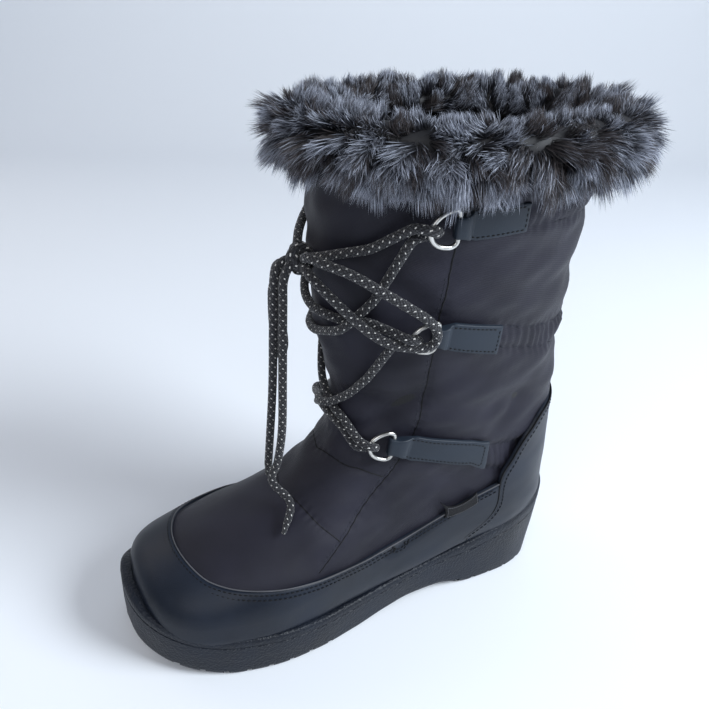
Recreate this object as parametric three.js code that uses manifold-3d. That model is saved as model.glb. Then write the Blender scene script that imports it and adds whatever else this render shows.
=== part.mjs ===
// A left snow boot: hollow padded upper, cup sole, rand, heel counter, straps with D-rings, lace and fur collar.
// Millimetres, +Z up, toe towards -Y, lateral side +X. The origin is the middle of the heel's flat spot.
import * as THREE from 'three';
import { mergeVertices } from 'three/addons/utils/BufferGeometryUtils.js';
import Module from 'manifold-3d';

const wasm = await Module();
wasm.setup();

// ---- driving dimensions -------------------------------------------------------------------------------------
const HEEL_REST = 47;          // heel's flat spot, measured forward from the back of the heel
const GAP = 0.3;               // clearance between pieces that touch
const SHAFT_WALL = 5;          // padded nylon with its lining
const VAMP_WALL = 4;
const OVERLAY = 1.9;           // outer face of rand and heel counter, proud of the upper
const INSOLE = 5;              // thickness of the foot bed
const SHAFT_TOP = 22.6;        // station where the shaft's cut edge lies under the fur
const STRAP_THICK = 2.0;
const RING_WIRE = 1.2;         // radius of a D-ring's wire
const RING_OFF = 2.8;          // height of a ring's wire above the upper
const LACE_R = 2.3;            // radius of the round lace
const LUG_DEPTH = 3;
const LUG_SLOT = 4.5;
const LUG_PITCH = 13;

// ---- small helpers ------------------------------------------------------------------------------------------
const column = (table, name) => table.rows.map((row) => row[table.columns.indexOf(name)]);

// Monotone cubic through (xs, ys), so that a section table gives a smooth form without overshoot.
function monotone(xs, ys) {
  const n = xs.length;
  const slope = xs.slice(1).map((x, i) => (ys[i + 1] - ys[i]) / (x - xs[i]));
  const tangent = ys.map((_, i) => {
    if (i === 0) return slope[0];
    if (i === n - 1) return slope[n - 2];
    if (slope[i - 1] * slope[i] <= 0) return 0;
    return (2 * slope[i - 1] * slope[i]) / (slope[i - 1] + slope[i]);
  });
  return (x) => {
    let i = 0;
    while (i < n - 2 && x > xs[i + 1]) i += 1;
    const h = xs[i + 1] - xs[i];
    const t = Math.min(1, Math.max(0, (x - xs[i]) / h));
    const a = (1 + 2 * t) * (1 - t) ** 2 * ys[i] + t * (1 - t) ** 2 * h * tangent[i];
    return a + t * t * (3 - 2 * t) * ys[i + 1] + t * t * (t - 1) * h * tangent[i + 1];
  };
}

// A point given as lateral distance, distance forward of the heel's back, and height.
const place = (x, f, z) => new THREE.Vector3(x, HEEL_REST - f, z);

function geometryOf(points, triangles) {
  const geometry = new THREE.BufferGeometry();
  geometry.setAttribute('position', new THREE.Float32BufferAttribute(points.flatMap((p) => [p.x, p.y, p.z]), 3));
  geometry.setIndex(triangles.flat());
  return geometry;
}

function solidOf(geometry) {
  const plain = geometry.clone();
  plain.deleteAttribute('normal');
  plain.deleteAttribute('uv');
  const merged = mergeVertices(plain, 1e-4);
  return new wasm.Manifold(new wasm.Mesh({
    numProp: 3,
    vertProperties: new Float32Array(merged.attributes.position.array),
    triVerts: new Uint32Array(merged.index.array),
  }));
}

// The biggest body of a cut, without the crumbs that a cut can leave at a feather edge.
const largest = (solid) => solid.decompose().sort((a, b) => b.volume() - a.volume())[0];

function geometryFrom(solid) {
  const mesh = solid.getMesh();
  const geometry = new THREE.BufferGeometry();
  const xyz = new Float32Array(mesh.numVert * 3);
  for (let i = 0; i < mesh.numVert; i += 1) {
    for (let k = 0; k < 3; k += 1) xyz[3 * i + k] = mesh.vertProperties[i * mesh.numProp + k];
  }
  geometry.setAttribute('position', new THREE.BufferAttribute(xyz, 3));
  geometry.setIndex(new THREE.BufferAttribute(new Uint32Array(mesh.triVerts), 1));
  return geometry;
}

// Closed skin over rings with equal point counts: walls between neighbours, and a fan over each end.
function loft(rings) {
  const n = rings[0].length;
  const points = rings.flat();
  const triangles = [];
  for (let r = 0; r < rings.length - 1; r += 1) {
    for (let i = 0; i < n; i += 1) {
      const a = r * n + i;
      const b = r * n + ((i + 1) % n);
      triangles.push([a, b, b + n], [a, b + n, a + n]);
    }
  }
  for (const [ring, first, flip] of [[rings[0], 0, true], [rings.at(-1), (rings.length - 1) * n, false]]) {
    const middle = ring.reduce((sum, p) => sum.add(p), new THREE.Vector3()).divideScalar(n);
    points.push(middle);
    for (let i = 0; i < n; i += 1) {
      const edge = [first + i, first + ((i + 1) % n)];
      if (flip) edge.reverse();
      triangles.push([...edge, points.length - 1]);
    }
  }
  return geometryOf(points, triangles);
}

// ---- the last: sections fanned from the toe round the instep to the collar -----------------------------------
// Each section runs from a front (top) point to a back (bottom) point of the side view and is a superellipse
// across: lateral and medial half-widths, the level of the widest place, and the roundness above and below it.
const LAST = {
  columns: ['frontF', 'frontZ', 'backF', 'backZ', 'lateral', 'medial', 'widest', 'roundTop', 'roundBottom'],
  rows: [
    [270, 41, 270, 37, 1, 1, 0.5, 2, 2],
    [268, 49, 268, 31, 19, 20, 0.45, 2, 3],
    [263, 54, 264, 27, 30.5, 30.5, 0.4, 2.1, 5],
    [252, 59, 255, 25, 40.5, 38.5, 0.38, 2.1, 6.5],
    [238, 64, 242, 24, 47.5, 42.5, 0.36, 2.1, 8],
    [220, 70, 225, 24, 52, 45.5, 0.34, 2.1, 8],
    [200, 78, 204, 24, 54, 47, 0.32, 2.1, 8],
    [181, 88, 180, 24, 51.5, 45, 0.31, 2.1, 8],
    [166, 100, 152, 25, 46.5, 41.5, 0.31, 2.1, 8],
    [156, 114, 122, 26, 41.5, 38.5, 0.33, 2.1, 8],
    [152, 128, 92, 29, 39, 37, 0.37, 2.1, 7],
    [151, 141, 62, 33, 38, 36.5, 0.42, 2.1, 6.5],
    [153, 153, 34, 36, 38, 36.5, 0.46, 2.1, 5.5],
    [156, 164, 13, 42, 39, 37.5, 0.48, 2.1, 3.6],
    [159, 175, 4, 56, 40.5, 39.5, 0.5, 2.1, 2.7],
    [162, 186, 4, 76, 42, 41, 0.5, 2.1, 2.3],
    [164, 197, 7, 98, 44, 43, 0.5, 2.1, 2.2],
    [166, 208, 10, 122, 46, 45, 0.5, 2.1, 2.1],
    [167, 219, 14, 148, 48, 47, 0.5, 2.1, 2.1],
    [168, 231, 18, 176, 49.5, 48.5, 0.5, 2.1, 2.1],
    [168.5, 243, 21, 204, 51, 50, 0.5, 2.1, 2.1],
    [169, 256, 22, 232, 52.5, 51.5, 0.5, 2.1, 2.1],
    [169, 270, 22, 260, 54, 53, 0.5, 2.1, 2.1],
    [168, 283, 22, 281, 55, 54, 0.5, 2.1, 2.1],
    [167, 297, 22, 297, 56, 55, 0.5, 2.1, 2.1],
  ],
};
const LAST_END = LAST.rows.length - 1;
const stations = LAST.rows.map((_, i) => i);
const last = Object.fromEntries(LAST.columns.map((name) => [name, monotone(stations, column(LAST, name))]));

function lastPoint(u, angle) {
  const c = Math.cos(angle);
  const s = Math.sin(angle);
  const power = 2 / (c > 0 ? last.roundTop(u) : last.roundBottom(u));
  const along = Math.sign(c) * Math.abs(c) ** power;
  const across = Math.sign(s) * Math.abs(s) ** power;
  const k = last.widest(u);
  const t = along > 0 ? k + (1 - k) * along : k + k * along;
  const f = last.backF(u) + (last.frontF(u) - last.backF(u)) * t;
  const z = last.backZ(u) + (last.frontZ(u) - last.backZ(u)) * t;
  return place(across * (s > 0 ? last.lateral(u) : last.medial(u)), f, z);
}

// The same form, moved outwards by off along its own normal; angle 0 is the front, positive is lateral.
function onLast(u, angle, off = 0) {
  const point = lastPoint(u, angle);
  if (off === 0) return point;
  const du = 0.05;
  const da = 0.02;
  const along = lastPoint(Math.min(LAST_END, u + du), angle).sub(lastPoint(Math.max(0, u - du), angle));
  const round = lastPoint(u, angle + da).sub(lastPoint(u, angle - da));
  const normal = along.cross(round).normalize();
  return point.addScaledVector(normal, -off);
}

const sectionRing = (u, off, count) => Array.from({ length: count }, (_, i) => (
  onLast(u, (i / count) * 2 * Math.PI, off)));
const steps = (from, to, count) => Array.from({ length: count + 1 }, (_, i) => from + ((to - from) * i) / count);

// A solid of the last, grown or shrunk by off(u), from the toe to station top. All such solids share their
// stations and angles, so their facets stay parallel and the gaps between them keep their width.
const FAN = [0.12, 0.45, 0.9, 1.5, ...steps(2.3, 20.5, 18), 21.3, 22];
const AROUND = 32;
function lastSolid(off, top) {
  const us = FAN.filter((u) => u < top - 0.2 && (off(u) >= 0 || u > 0.7));
  return solidOf(loft([...us, top].map((u) => sectionRing(u, off(u), AROUND))));
}

// ---- side-view cutters --------------------------------------------------------------------------------------
// A side-view outline in (forward, height), extruded right across the boot.
const WIDE = 160;
function sideCutter(outline, from = -WIDE / 2, depth = WIDE) {
  const shape = new THREE.Shape(outline.map(([f, z]) => new THREE.Vector2(f - HEEL_REST, z)));
  const geometry = new THREE.ExtrudeGeometry(shape, { depth, bevelEnabled: false });
  geometry.applyMatrix4(new THREE.Matrix4().makeBasis(
    new THREE.Vector3(0, -1, 0), new THREE.Vector3(0, 0, 1), new THREE.Vector3(-1, 0, 0)));
  geometry.translate(from + depth, 0, 0);
  return solidOf(geometry);
}
const FRONT = 340;
const BACK = -60;
const LOW = -20;
const HIGH = 360;
const below = (curve) => sideCutter([[BACK, LOW], [FRONT, LOW], ...curve.slice().reverse()]);
const above = (curve) => sideCutter([...curve, [FRONT, HIGH], [BACK, HIGH]]);
const sampled = (curve, rise, count = 30) => [BACK, ...steps(-8, 288, count), FRONT].map((f) => [f, curve(f) + rise]);

// ---- sole ---------------------------------------------------------------------------------------------------
const SOLE = {
  columns: ['f', 'lateral', 'medial', 'top', 'bottom'],
  rows: [
    [-3, 0, 0, 63.5, 9],
    [-1, 12.5, 12.5, 62, 6],
    [4, 22.5, 22.5, 58, 2],
    [15, 31.5, 31, 52.5, 0],
    [35, 37, 36, 46, 0],
    [60, 38.5, 36.5, 39, 0],
    [85, 39, 36.5, 33, 6],
    [105, 40.5, 37.5, 29.5, 6],
    [125, 43.5, 40, 27, 3.5],
    [150, 49, 44.5, 26, 0.5],
    [175, 54.5, 48.5, 26, 0],
    [200, 57, 50.5, 27, 0],
    [225, 54.5, 48.5, 28.5, 0],
    [246, 48, 44.5, 30.5, 2.5],
    [262, 38, 37.5, 34.5, 6],
    [272.5, 26, 27.5, 39, 9.5],
    [277.5, 14, 15, 42.5, 11.5],
    [279, 0, 0, 43, 12],
  ],
};
const soleAt = Object.fromEntries(SOLE.columns.slice(1).map((name) => [
  name, monotone(column(SOLE, 'f'), column(SOLE, name))]));
const HEEL_END = column(SOLE, 'f')[0];
const TOE_END = column(SOLE, 'f').at(-1);

// Levels of the sole's side wall: how far in from the outline, and the height between bottom and top.
const SOLE_WALL = {
  columns: ['inset', 'share', 'rise'],
  rows: [
    [3, 0, 0],
    [0.6, 0, 3],
    [0, 0.6, 0],
    [0.8, 1, -1.2],
    [2.2, 1, 0],
  ],
};

function soleSolid() {
  const half = 26;
  const fs = steps(0, 1, half).map((t) => {
    const eased = (1 - Math.cos(Math.PI * t)) / 2;
    return HEEL_END + (TOE_END - HEEL_END) * (0.55 * eased + 0.45 * t);
  });
  const outline = [
    ...fs.map((f) => [soleAt.lateral(f), f, f]),
    ...fs.slice(1, -1).reverse().map((f) => [-soleAt.medial(f), f, f]),
  ];
  const count = outline.length;
  const inward = outline.map((_, i) => {
    const [ax, af] = outline[(i + count - 1) % count];
    const [bx, bf] = outline[(i + 1) % count];
    return new THREE.Vector2(-(bf - af), bx - ax).normalize();
  });
  const rings = SOLE_WALL.rows.map(([inset, share, rise]) => outline.map(([x, f, key], i) => {
    const low = soleAt.bottom(key);
    const high = soleAt.top(key);
    return place(x + inward[i].x * inset, f + inward[i].y * inset, low + (high - low) * share + rise);
  }));
  const points = rings.flat();
  const triangles = [];
  for (let r = 0; r < rings.length - 1; r += 1) {
    for (let i = 0; i < count; i += 1) {
      const a = r * count + i;
      const b = r * count + ((i + 1) % count);
      triangles.push([a, b + count, b], [a, a + count, b + count]);
    }
  }
  // Ladder caps: a lateral point and its medial partner share one station.
  const cap = (base, up) => {
    for (let i = 0; i < half; i += 1) {
      const quad = [i, i + 1, (count - i - 1) % count, (count - i) % count].map((k) => base + k);
      const tris = [[quad[0], quad[1], quad[2]], [quad[0], quad[2], quad[3]]];
      for (const tri of tris) {
        if (new Set(tri).size === 3) triangles.push(up ? tri.slice().reverse() : tri);
      }
    }
  };
  cap(0, false);
  cap((rings.length - 1) * count, true);
  return solidOf(geometryOf(points, triangles));
}

// Cross slots in the tread, open to both sides; the lands between them are the main lugs.
const TREADS = [{ from: 168, to: 262 }, { from: 4, to: 69 }];
function lugSlots() {
  return TREADS.flatMap(({ from, to }) => {
    const count = Math.floor((to - from) / LUG_PITCH);
    return Array.from({ length: count + 1 }, (_, i) => {
      const f = from + i * LUG_PITCH;
      const base = soleAt.bottom(f);
      const wide = LUG_SLOT / 2;
      return sideCutter([[f - wide, LOW], [f + wide, LOW], [f + wide - 0.8, base + LUG_DEPTH],
        [f - wide + 0.8, base + LUG_DEPTH]]);
    });
  });
}

// ---- upper, insole and sole ---------------------------------------------------------------------------------
const wall = (u) => -(VAMP_WALL + (SHAFT_WALL - VAMP_WALL) * Math.min(1, Math.max(0, (u - 8) / 4)));
const bottomLine = monotone([-60, 4, 34, 62, 92, 122, 152, 264, 340], [56, 52, 36, 33, 29, 26, 24.5, 24.5, 24.5]);

function build() {
  const outer = lastSolid(() => 0, SHAFT_TOP);
  const hollow = lastSolid(wall, LAST_END - 0.4);
  const bed = below(sampled(bottomLine, INSOLE + GAP));
  const upper = outer.subtract(hollow).subtract(bed);

  const insole = lastSolid(() => -GAP, 18).intersect(below(sampled(bottomLine, INSOLE)));
  const cup = lastSolid(() => GAP, LAST_END - 1);
  const block = soleSolid();
  const sole = lugSlots().reduce((solid, slot) => solid.subtract(slot), block.subtract(cup));
  return { upper, insole, sole, block };
}
const main = build();

// ---- rand and heel counter ----------------------------------------------------------------------------------
// Upper edge of the rand in the side view: where the toe drops below it, the edge turns round the toe as a U.
const randEdge = monotone([-60, 40, 55, 77, 100, 124, 147, 175, 199, 220, 235, 246, 280, 340],
  [92, 90, 84, 75, 66, 58.5, 55, 55.5, 56.5, 57, 58.3, 61.2, 66, 66]);
const soleTop = (f) => soleAt.top(Math.min(TOE_END, Math.max(HEEL_END, f)));
const COUNTER_FRONT = [[74, LOW], [68, 40], [55.5, 83], [50.5, 103], [43, 118], [28, 129], [8, 134], [BACK, 134]];

function overlays() {
  const band = lastSolid(() => OVERLAY, 19).subtract(lastSolid(() => GAP, 19.6));
  const clearOfSole = above(sampled(soleTop, GAP, 30));
  const skin = band.intersect(clearOfSole).subtract(main.block.translate([0, 0, GAP]));
  const counterSide = sideCutter([...COUNTER_FRONT, [BACK, LOW]]);
  const shifted = COUNTER_FRONT.map(([f, z], i) => [f + (i < 5 ? 0.5 : 0), z + (i >= 5 ? 0.5 : 0)]);
  const keepOff = sideCutter([...shifted, [BACK, LOW]]);
  const rand = skin.intersect(below(sampled(randEdge, 0, 34))).subtract(keepOff);
  const counter = skin.intersect(counterSide);
  return { rand: largest(rand), counter: largest(counter) };
}

// ---- straps and rings ---------------------------------------------------------------------------------------
// Corners of each strap on the last: station and angle (degrees) at the ring end and at the back end.
const STRAPS = {
  columns: ['uTopFront', 'aTopFront', 'uLowFront', 'aLowFront', 'uTopBack', 'aTopBack', 'uLowBack', 'aLowBack'],
  rows: [
    [12.17, 50, 10.79, 52, 14.8, 95, 13.27, 95],
    [18.29, 66, 17.32, 65, 18.78, 93, 17.96, 92],
    [21.42, 67, 20.64, 68, 21.67, 93, 21.08, 94],
  ],
};
const strapPatch = STRAPS.rows.map((row) => Object.fromEntries(STRAPS.columns.map((name, i) => [name, row[i]])));
const RING_END = [0.58, 0.66, 0.66];   // share of a strap's width that passes through its ring
const radians = THREE.MathUtils.degToRad;

// A point on strap number i: along 0 at the ring end to 1 at the back, up 0 at the lower edge to 1 at the top.
function strapPoint(i, side, along, up, off) {
  const c = strapPatch[i];
  const mix = THREE.MathUtils.lerp;
  const narrow = mix(RING_END[i], 1, THREE.MathUtils.clamp((along - 0.1) / 0.2, 0, 1));
  const level = 0.5 + (up - 0.5) * narrow;
  const u = mix(mix(c.uLowFront, c.uTopFront, level), mix(c.uLowBack, c.uTopBack, level), along);
  const angle = mix(mix(c.aLowFront, c.aTopFront, level), mix(c.aLowBack, c.aTopBack, level), along);
  return onLast(u, side * radians(angle), off);
}

const STRAP_ALONG = 10;
const STRAP_UP = 2;
const FOLD = RING_OFF + RING_WIRE + 1;          // thickness of the fold that holds a ring's bar
function strapSolid(i, side) {
  const points = [];
  const at = (layer, a, b) => layer * (STRAP_ALONG + 1) * (STRAP_UP + 1) + a * (STRAP_UP + 1) + b;
  for (const layer of [0, 1]) {
    for (const along of steps(0, 1, STRAP_ALONG)) {
      for (const up of steps(0, 1, STRAP_UP)) {
        const fold = Math.max(0, 1 - along / 0.22);
        const rise = STRAP_THICK + (FOLD - STRAP_THICK) * Math.sqrt(1 - (1 - Math.min(1, fold * 1.6)) ** 2);
        points.push(strapPoint(i, side, along, up, GAP + layer * rise));
      }
    }
  }
  const triangles = [];
  const quad = (a, b, c, d) => triangles.push([a, b, c], [a, c, d]);
  for (let a = 0; a < STRAP_ALONG; a += 1) {
    for (let b = 0; b < STRAP_UP; b += 1) {
      quad(at(1, a, b), at(1, a + 1, b), at(1, a + 1, b + 1), at(1, a, b + 1));
      quad(at(0, a, b), at(0, a, b + 1), at(0, a + 1, b + 1), at(0, a + 1, b));
    }
    quad(at(0, a, 0), at(0, a + 1, 0), at(1, a + 1, 0), at(1, a, 0));
    quad(at(0, a + 1, STRAP_UP), at(0, a, STRAP_UP), at(1, a, STRAP_UP), at(1, a + 1, STRAP_UP));
  }
  for (let b = 0; b < STRAP_UP; b += 1) {
    quad(at(0, 0, b + 1), at(0, 0, b), at(1, 0, b), at(1, 0, b + 1));
    quad(at(0, STRAP_ALONG, b), at(0, STRAP_ALONG, b + 1), at(1, STRAP_ALONG, b + 1), at(1, STRAP_ALONG, b));
  }
  const geometry = geometryOf(points, side > 0 ? triangles : triangles.map((tri) => tri.slice().reverse()));
  return solidOf(geometry);
}

// Frame of a ring: its bar lies in the strap's fold and its bow points forwards.
function ringFrame(i, side) {
  const inFold = 0.05;
  const middle = strapPoint(i, side, inFold, 0.5, RING_OFF);
  const top = strapPoint(i, side, inFold, 1, RING_OFF);
  const low = strapPoint(i, side, inFold, 0, RING_OFF);
  const bar = top.clone().sub(low).normalize();
  const out = middle.clone().sub(strapPoint(i, side, inFold, 0.5, 0)).normalize();
  const forward = new THREE.Vector3().crossVectors(out, bar).normalize().multiplyScalar(side);
  out.crossVectors(bar, forward).normalize().multiplyScalar(side);
  return { middle, bar, forward, out };
}

const RING_HALF = 8.2;         // half the bar's length
const RING_REACH = 13;       // from the bar to the far side of the bow
const RING_STEPS = 18;
function ringPath(frame) {
  const { middle, bar, forward } = frame;
  const at = (a, b) => middle.clone().addScaledVector(bar, a).addScaledVector(forward, b);
  const bow = steps(0, Math.PI, 8).map((t) => at(Math.cos(t) * RING_HALF, 2.5 + Math.sin(t) * (RING_REACH - 2.5)));
  const path = new THREE.CurvePath();
  const corner = [at(RING_HALF - 1.6, 0), ...bow, at(-RING_HALF + 1.6, 0)];
  path.add(new THREE.LineCurve3(at(0.2, 0), corner[0]));
  path.add(new THREE.CatmullRomCurve3(corner, false, 'centripetal'));
  path.add(new THREE.LineCurve3(corner.at(-1), at(-0.2, 0)));
  return path;
}

const disc = (radius, sides) => new THREE.Shape(Array.from({ length: sides }, (_, k) => (
  new THREE.Vector2(radius * Math.cos((2 * Math.PI * k) / sides), radius * Math.sin((2 * Math.PI * k) / sides)))));

function tube(path, radius, sides, count) {
  return new THREE.ExtrudeGeometry(disc(radius, sides), { steps: count, extrudePath: path, bevelEnabled: false });
}

// ---- lace ---------------------------------------------------------------------------------------------------
// Where a lace leaves ring number i: just past the ring's bow, and shifted along the bar to let two strands by.
const STRAND = LACE_R + 0.4;
function mouth(i, side, shift) {
  const { middle, bar, forward, out } = ringFrame(i, side);
  return middle.clone().addScaledVector(forward, RING_REACH + RING_WIRE + 1.2)
    .addScaledVector(bar, shift * STRAND).addScaledVector(out, 1.4);
}
const on = (u, degrees, off) => onLast(u, radians(degrees), off);
const LOW_STRAND = LACE_R + 1.5;   // height of a strand that lies on the upper

// Points of a strand that follows the upper through [station, degrees, height] marks.
function lying(...marks) {
  const wide = 8;
  const curve = new THREE.CatmullRomCurve3(
    marks.map(([u, degrees, off = LOW_STRAND]) => new THREE.Vector3(u, degrees / wide, off)), false, 'centripetal');
  return curve.getPoints(4 * marks.length).map((mark) => on(mark.x, mark.y * wide, mark.z));
}

// Each strand from end to end: between rings on the upper, or hanging from the knot.
const KNOT = on(18.55, 2, 8.2);
const strands = {
  bar: [mouth(0, 1, -1), ...lying([10.45, 18], [10.62, 6], [10.62, -6], [10.45, -18]), mouth(0, -1, -1)],
  lowFromLateral: [mouth(0, 1, 1), ...lying([10.8, 18], [10.85, 6], [11.4, -9], [12.6, -24],
    [14.3, -37]), mouth(1, -1, -1)],
  lowFromMedial: [mouth(0, -1, 1), ...lying([10.8, -16], [10.95, 1], [11.6, 13], [12.55, 24],
    [14.3, 37]), mouth(1, 1, -1)],
  highFromLateral: [mouth(2, 1, -1), ...lying([18.2, 41], [17.3, 34], [16.55, 28], [15.5, 15], [14.9, -4],
    [15.2, -25], [16, -37]), mouth(1, -1, 1)],
  highFromMedial: [mouth(1, 1, 1), ...lying([17.15, 38], [16.65, 28], [16.3, 12], [16.2, -2], [16.9, -22],
    [18.2, -38]), mouth(2, -1, -1)],
  topLateral: [...lying([18.95, 15], [19.4, 26], [19.9, 38]), mouth(2, 1, 1)],
  topMedial: [...lying([18.95, -11], [19.4, -24], [19.9, -37]), mouth(2, -1, 1)],
  loopLateral: lying([19, 13, 12], [19.05, 22, 11], [19.05, 33, 10], [18.85, 46, 10], [18.65, 56, 10],
    [18.45, 63, 10], [18.1, 65.5, 10], [17.65, 63, 10], [17.25, 54, 10], [17.1, 46, 10],
    [17.3, 37, 10], [17.85, 25, 11], [18.3, 15, 12]),
  loopMedial: [place(-9, 182.5, 218), place(-14, 182, 210), place(-21, 179, 198), place(-27, 174, 184),
    place(-30, 170, 172), place(-27, 170, 163), place(-21, 174.5, 161), place(-16, 179, 168),
    place(-13, 182, 181), place(-12, 183.5, 196), place(-9.5, 184, 208)],
  end1: [place(-1.5, 184.5, 216.5), place(-2, 187, 205), place(-2, 187, 185), place(-2, 187, 150),
    place(-2, 189, 96)],
  end2: [place(6, 182, 216), place(6.5, 183, 205), place(6.5, 183, 185), place(6.5, 182.5, 160),
    place(7, 183, 130), place(8.5, 186, 110), place(12, 190, 98), on(7.1, 34, 5), on(6.6, 42, 3.6)],
};

function strandTube(points, perStep = 14) {
  const path = new THREE.CatmullRomCurve3(points, false, 'centripetal');
  return tube(path, LACE_R, 8, Math.max(3, Math.round(path.getLength() / perStep)));
}
const joined = (names) => geometryFrom(
  names.map((name) => solidOf(strandTube(strands[name]))).reduce((all, one) => all.add(one)));

function knotGeometry() {
  const geometry = new THREE.SphereGeometry(1, 12, 8);
  geometry.scale(9, 7.2, 7.2);
  geometry.translate(KNOT.x, KNOT.y, KNOT.z);
  return geometryFrom(solidOf(geometry));
}

// ---- fur collar ---------------------------------------------------------------------------------------------
// Section of the cuff, out to the tips of its fur: station on the last at the front and at the back, and the
// distance out from it. It goes round the shaft's cut edge, and its skirt hangs over the top straps.
const CUFF = {
  columns: ['uFront', 'uBack', 'off'],
  rows: [
    [22, 22, GAP],
    [21.75, 21.85, 6.5],
    [21.7, 21.8, 13],
    [22, 22.1, 18],
    [22.6, 22.6, 20],
    [23.2, 23.2, 18],
    [23.6, 23.6, 11],
    [23.7, 23.7, 3],
    [23.6, 23.6, -5],
    [23.2, 23.2, -11],
    [22.6, 22.6, -12],
    [22, 22, -10.5],
    [21.8, 21.8, -SHAFT_WALL - 1],
    [SHAFT_TOP + 0.05, SHAFT_TOP + 0.05, -SHAFT_WALL - 1],
    [SHAFT_TOP + 0.05, SHAFT_TOP + 0.05, GAP],
  ],
};
function cuffGeometry() {
  const rings = Array.from({ length: AROUND }, (_, i) => {
    const angle = (2 * Math.PI * i) / AROUND;
    const back = (1 - Math.cos(angle)) / 2;
    const fuller = (off) => (off > GAP ? off * (1 - 0.25 * back) : off);
    return CUFF.rows.map(([front, rear, off]) => onLast(front + (rear - front) * back, angle, fuller(off)));
  });
  const n = CUFF.rows.length;
  const triangles = [];
  for (let r = 0; r < AROUND; r += 1) {
    for (let i = 0; i < n; i += 1) {
      const a = r * n + i;
      const b = r * n + ((i + 1) % n);
      const c = ((r + 1) % AROUND) * n + i;
      const d = ((r + 1) % AROUND) * n + ((i + 1) % n);
      triangles.push([a, c, d], [a, d, b]);
    }
  }
  return geometryOf(rings.flat(), triangles);
}

// ---- the boot -----------------------------------------------------------------------------------------------
const boot = new THREE.Group();
function add(name, geometry, color, roughness, metalness = 0) {
  geometry.computeVertexNormals();
  const mesh = new THREE.Mesh(geometry, new THREE.MeshStandardMaterial({ color, roughness, metalness }));
  mesh.name = name;
  boot.add(mesh);
}

const RUBBER = 0x141518;
const NYLON = 0x17171f;
const LEATHERETTE = 0x1b1f2a;
const STEEL = 0xb4b4b0;
const FUR = 0x4a4c56;
const FOOTBED = 0x2c2c30;
const LACE = 0x1a1a1e;

const { rand, counter } = overlays();
add('unit_sole', geometryFrom(main.sole), RUBBER, 0.75);
add('insole', geometryFrom(main.insole), FOOTBED, 0.95);
add('upper', geometryFrom(main.upper), NYLON, 0.8);
add('rand', geometryFrom(rand), LEATHERETTE, 0.5);
add('heel_counter', geometryFrom(counter), LEATHERETTE, 0.5);
add('fur_collar', cuffGeometry(), FUR, 0.95);

for (const [sideName, side] of [['lateral', 1], ['medial', -1]]) {
  for (const i of [0, 1, 2]) {
    const frame = ringFrame(i, side);
    const bar = new THREE.LineCurve3(
      frame.middle.clone().addScaledVector(frame.bar, -20), frame.middle.clone().addScaledVector(frame.bar, 20));
    const tunnel = solidOf(tube(bar, RING_WIRE + GAP, 10, 1));
    add(`strap_${sideName}_${i + 1}`, geometryFrom(strapSolid(i, side).subtract(tunnel)), LEATHERETTE, 0.45);
    add(`dring_${sideName}_${i + 1}`, tube(ringPath(frame), RING_WIRE, 6, RING_STEPS), STEEL, 0.3, 1);
  }
}

add('lace_cross_lower', joined(['bar', 'lowFromLateral', 'lowFromMedial']), LACE, 0.7);
add('lace_cross_upper', joined(['highFromLateral', 'highFromMedial']), LACE, 0.7);
add('lace_top_lateral', strandTube(strands.topLateral), LACE, 0.7);
add('lace_top_medial', strandTube(strands.topMedial), LACE, 0.7);
add('lace_knot', knotGeometry(), LACE, 0.7);
add('lace_loop_lateral', strandTube(strands.loopLateral, 11), LACE, 0.7);
add('lace_loop_medial', strandTube(strands.loopMedial, 11), LACE, 0.7);
add('lace_end_1', strandTube(strands.end1), LACE, 0.7);
add('lace_end_2', strandTube(strands.end2), LACE, 0.7);

export default boot;
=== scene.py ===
# %% [markdown]
# # A snow boot in Blender
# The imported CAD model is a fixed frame, in metres, with the sole on the floor, the toe towards -Y and the
# lateral side towards +X. Each soft or worn-looking piece is made again here at full detail, in the place
# that its CAD solid holds, and takes that solid's place.

# %% Load the frame
import math

import bpy
import numpy as np
from mathutils import Matrix, Vector


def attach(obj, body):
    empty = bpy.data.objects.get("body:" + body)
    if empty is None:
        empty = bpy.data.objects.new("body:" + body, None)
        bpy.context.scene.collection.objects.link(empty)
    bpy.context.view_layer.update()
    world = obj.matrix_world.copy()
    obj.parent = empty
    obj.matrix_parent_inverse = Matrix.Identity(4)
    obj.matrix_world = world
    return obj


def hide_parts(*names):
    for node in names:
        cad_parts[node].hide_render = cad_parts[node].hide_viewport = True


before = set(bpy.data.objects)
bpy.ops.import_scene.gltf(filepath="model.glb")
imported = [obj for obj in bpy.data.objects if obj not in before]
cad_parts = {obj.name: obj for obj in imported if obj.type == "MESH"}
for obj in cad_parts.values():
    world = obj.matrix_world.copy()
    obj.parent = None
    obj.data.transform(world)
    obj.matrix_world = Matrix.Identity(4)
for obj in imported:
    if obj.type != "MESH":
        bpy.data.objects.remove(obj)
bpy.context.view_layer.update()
MM = 0.001
random = np.random.default_rng(7)

# %% [markdown]
# ## The camera
# A phone held at arm's length, above and in front of the lateral side. Its place, aim and roll are in the
# boot's own frame. The lens is shifted up and sideways, as the boot fills an upright crop of a wider view.

# %% Camera
CAMERA_PLACE = Vector((0.2962, -0.2572, 0.3441))
CAMERA_AZIMUTH = math.radians(68.0)
CAMERA_ELEVATION = math.radians(34.28)
CAMERA_ROLL = math.radians(1.18)
FOCAL_SHARE = 700 / 709
LENS_SHIFT = (0.11, 0.1065)


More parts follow.
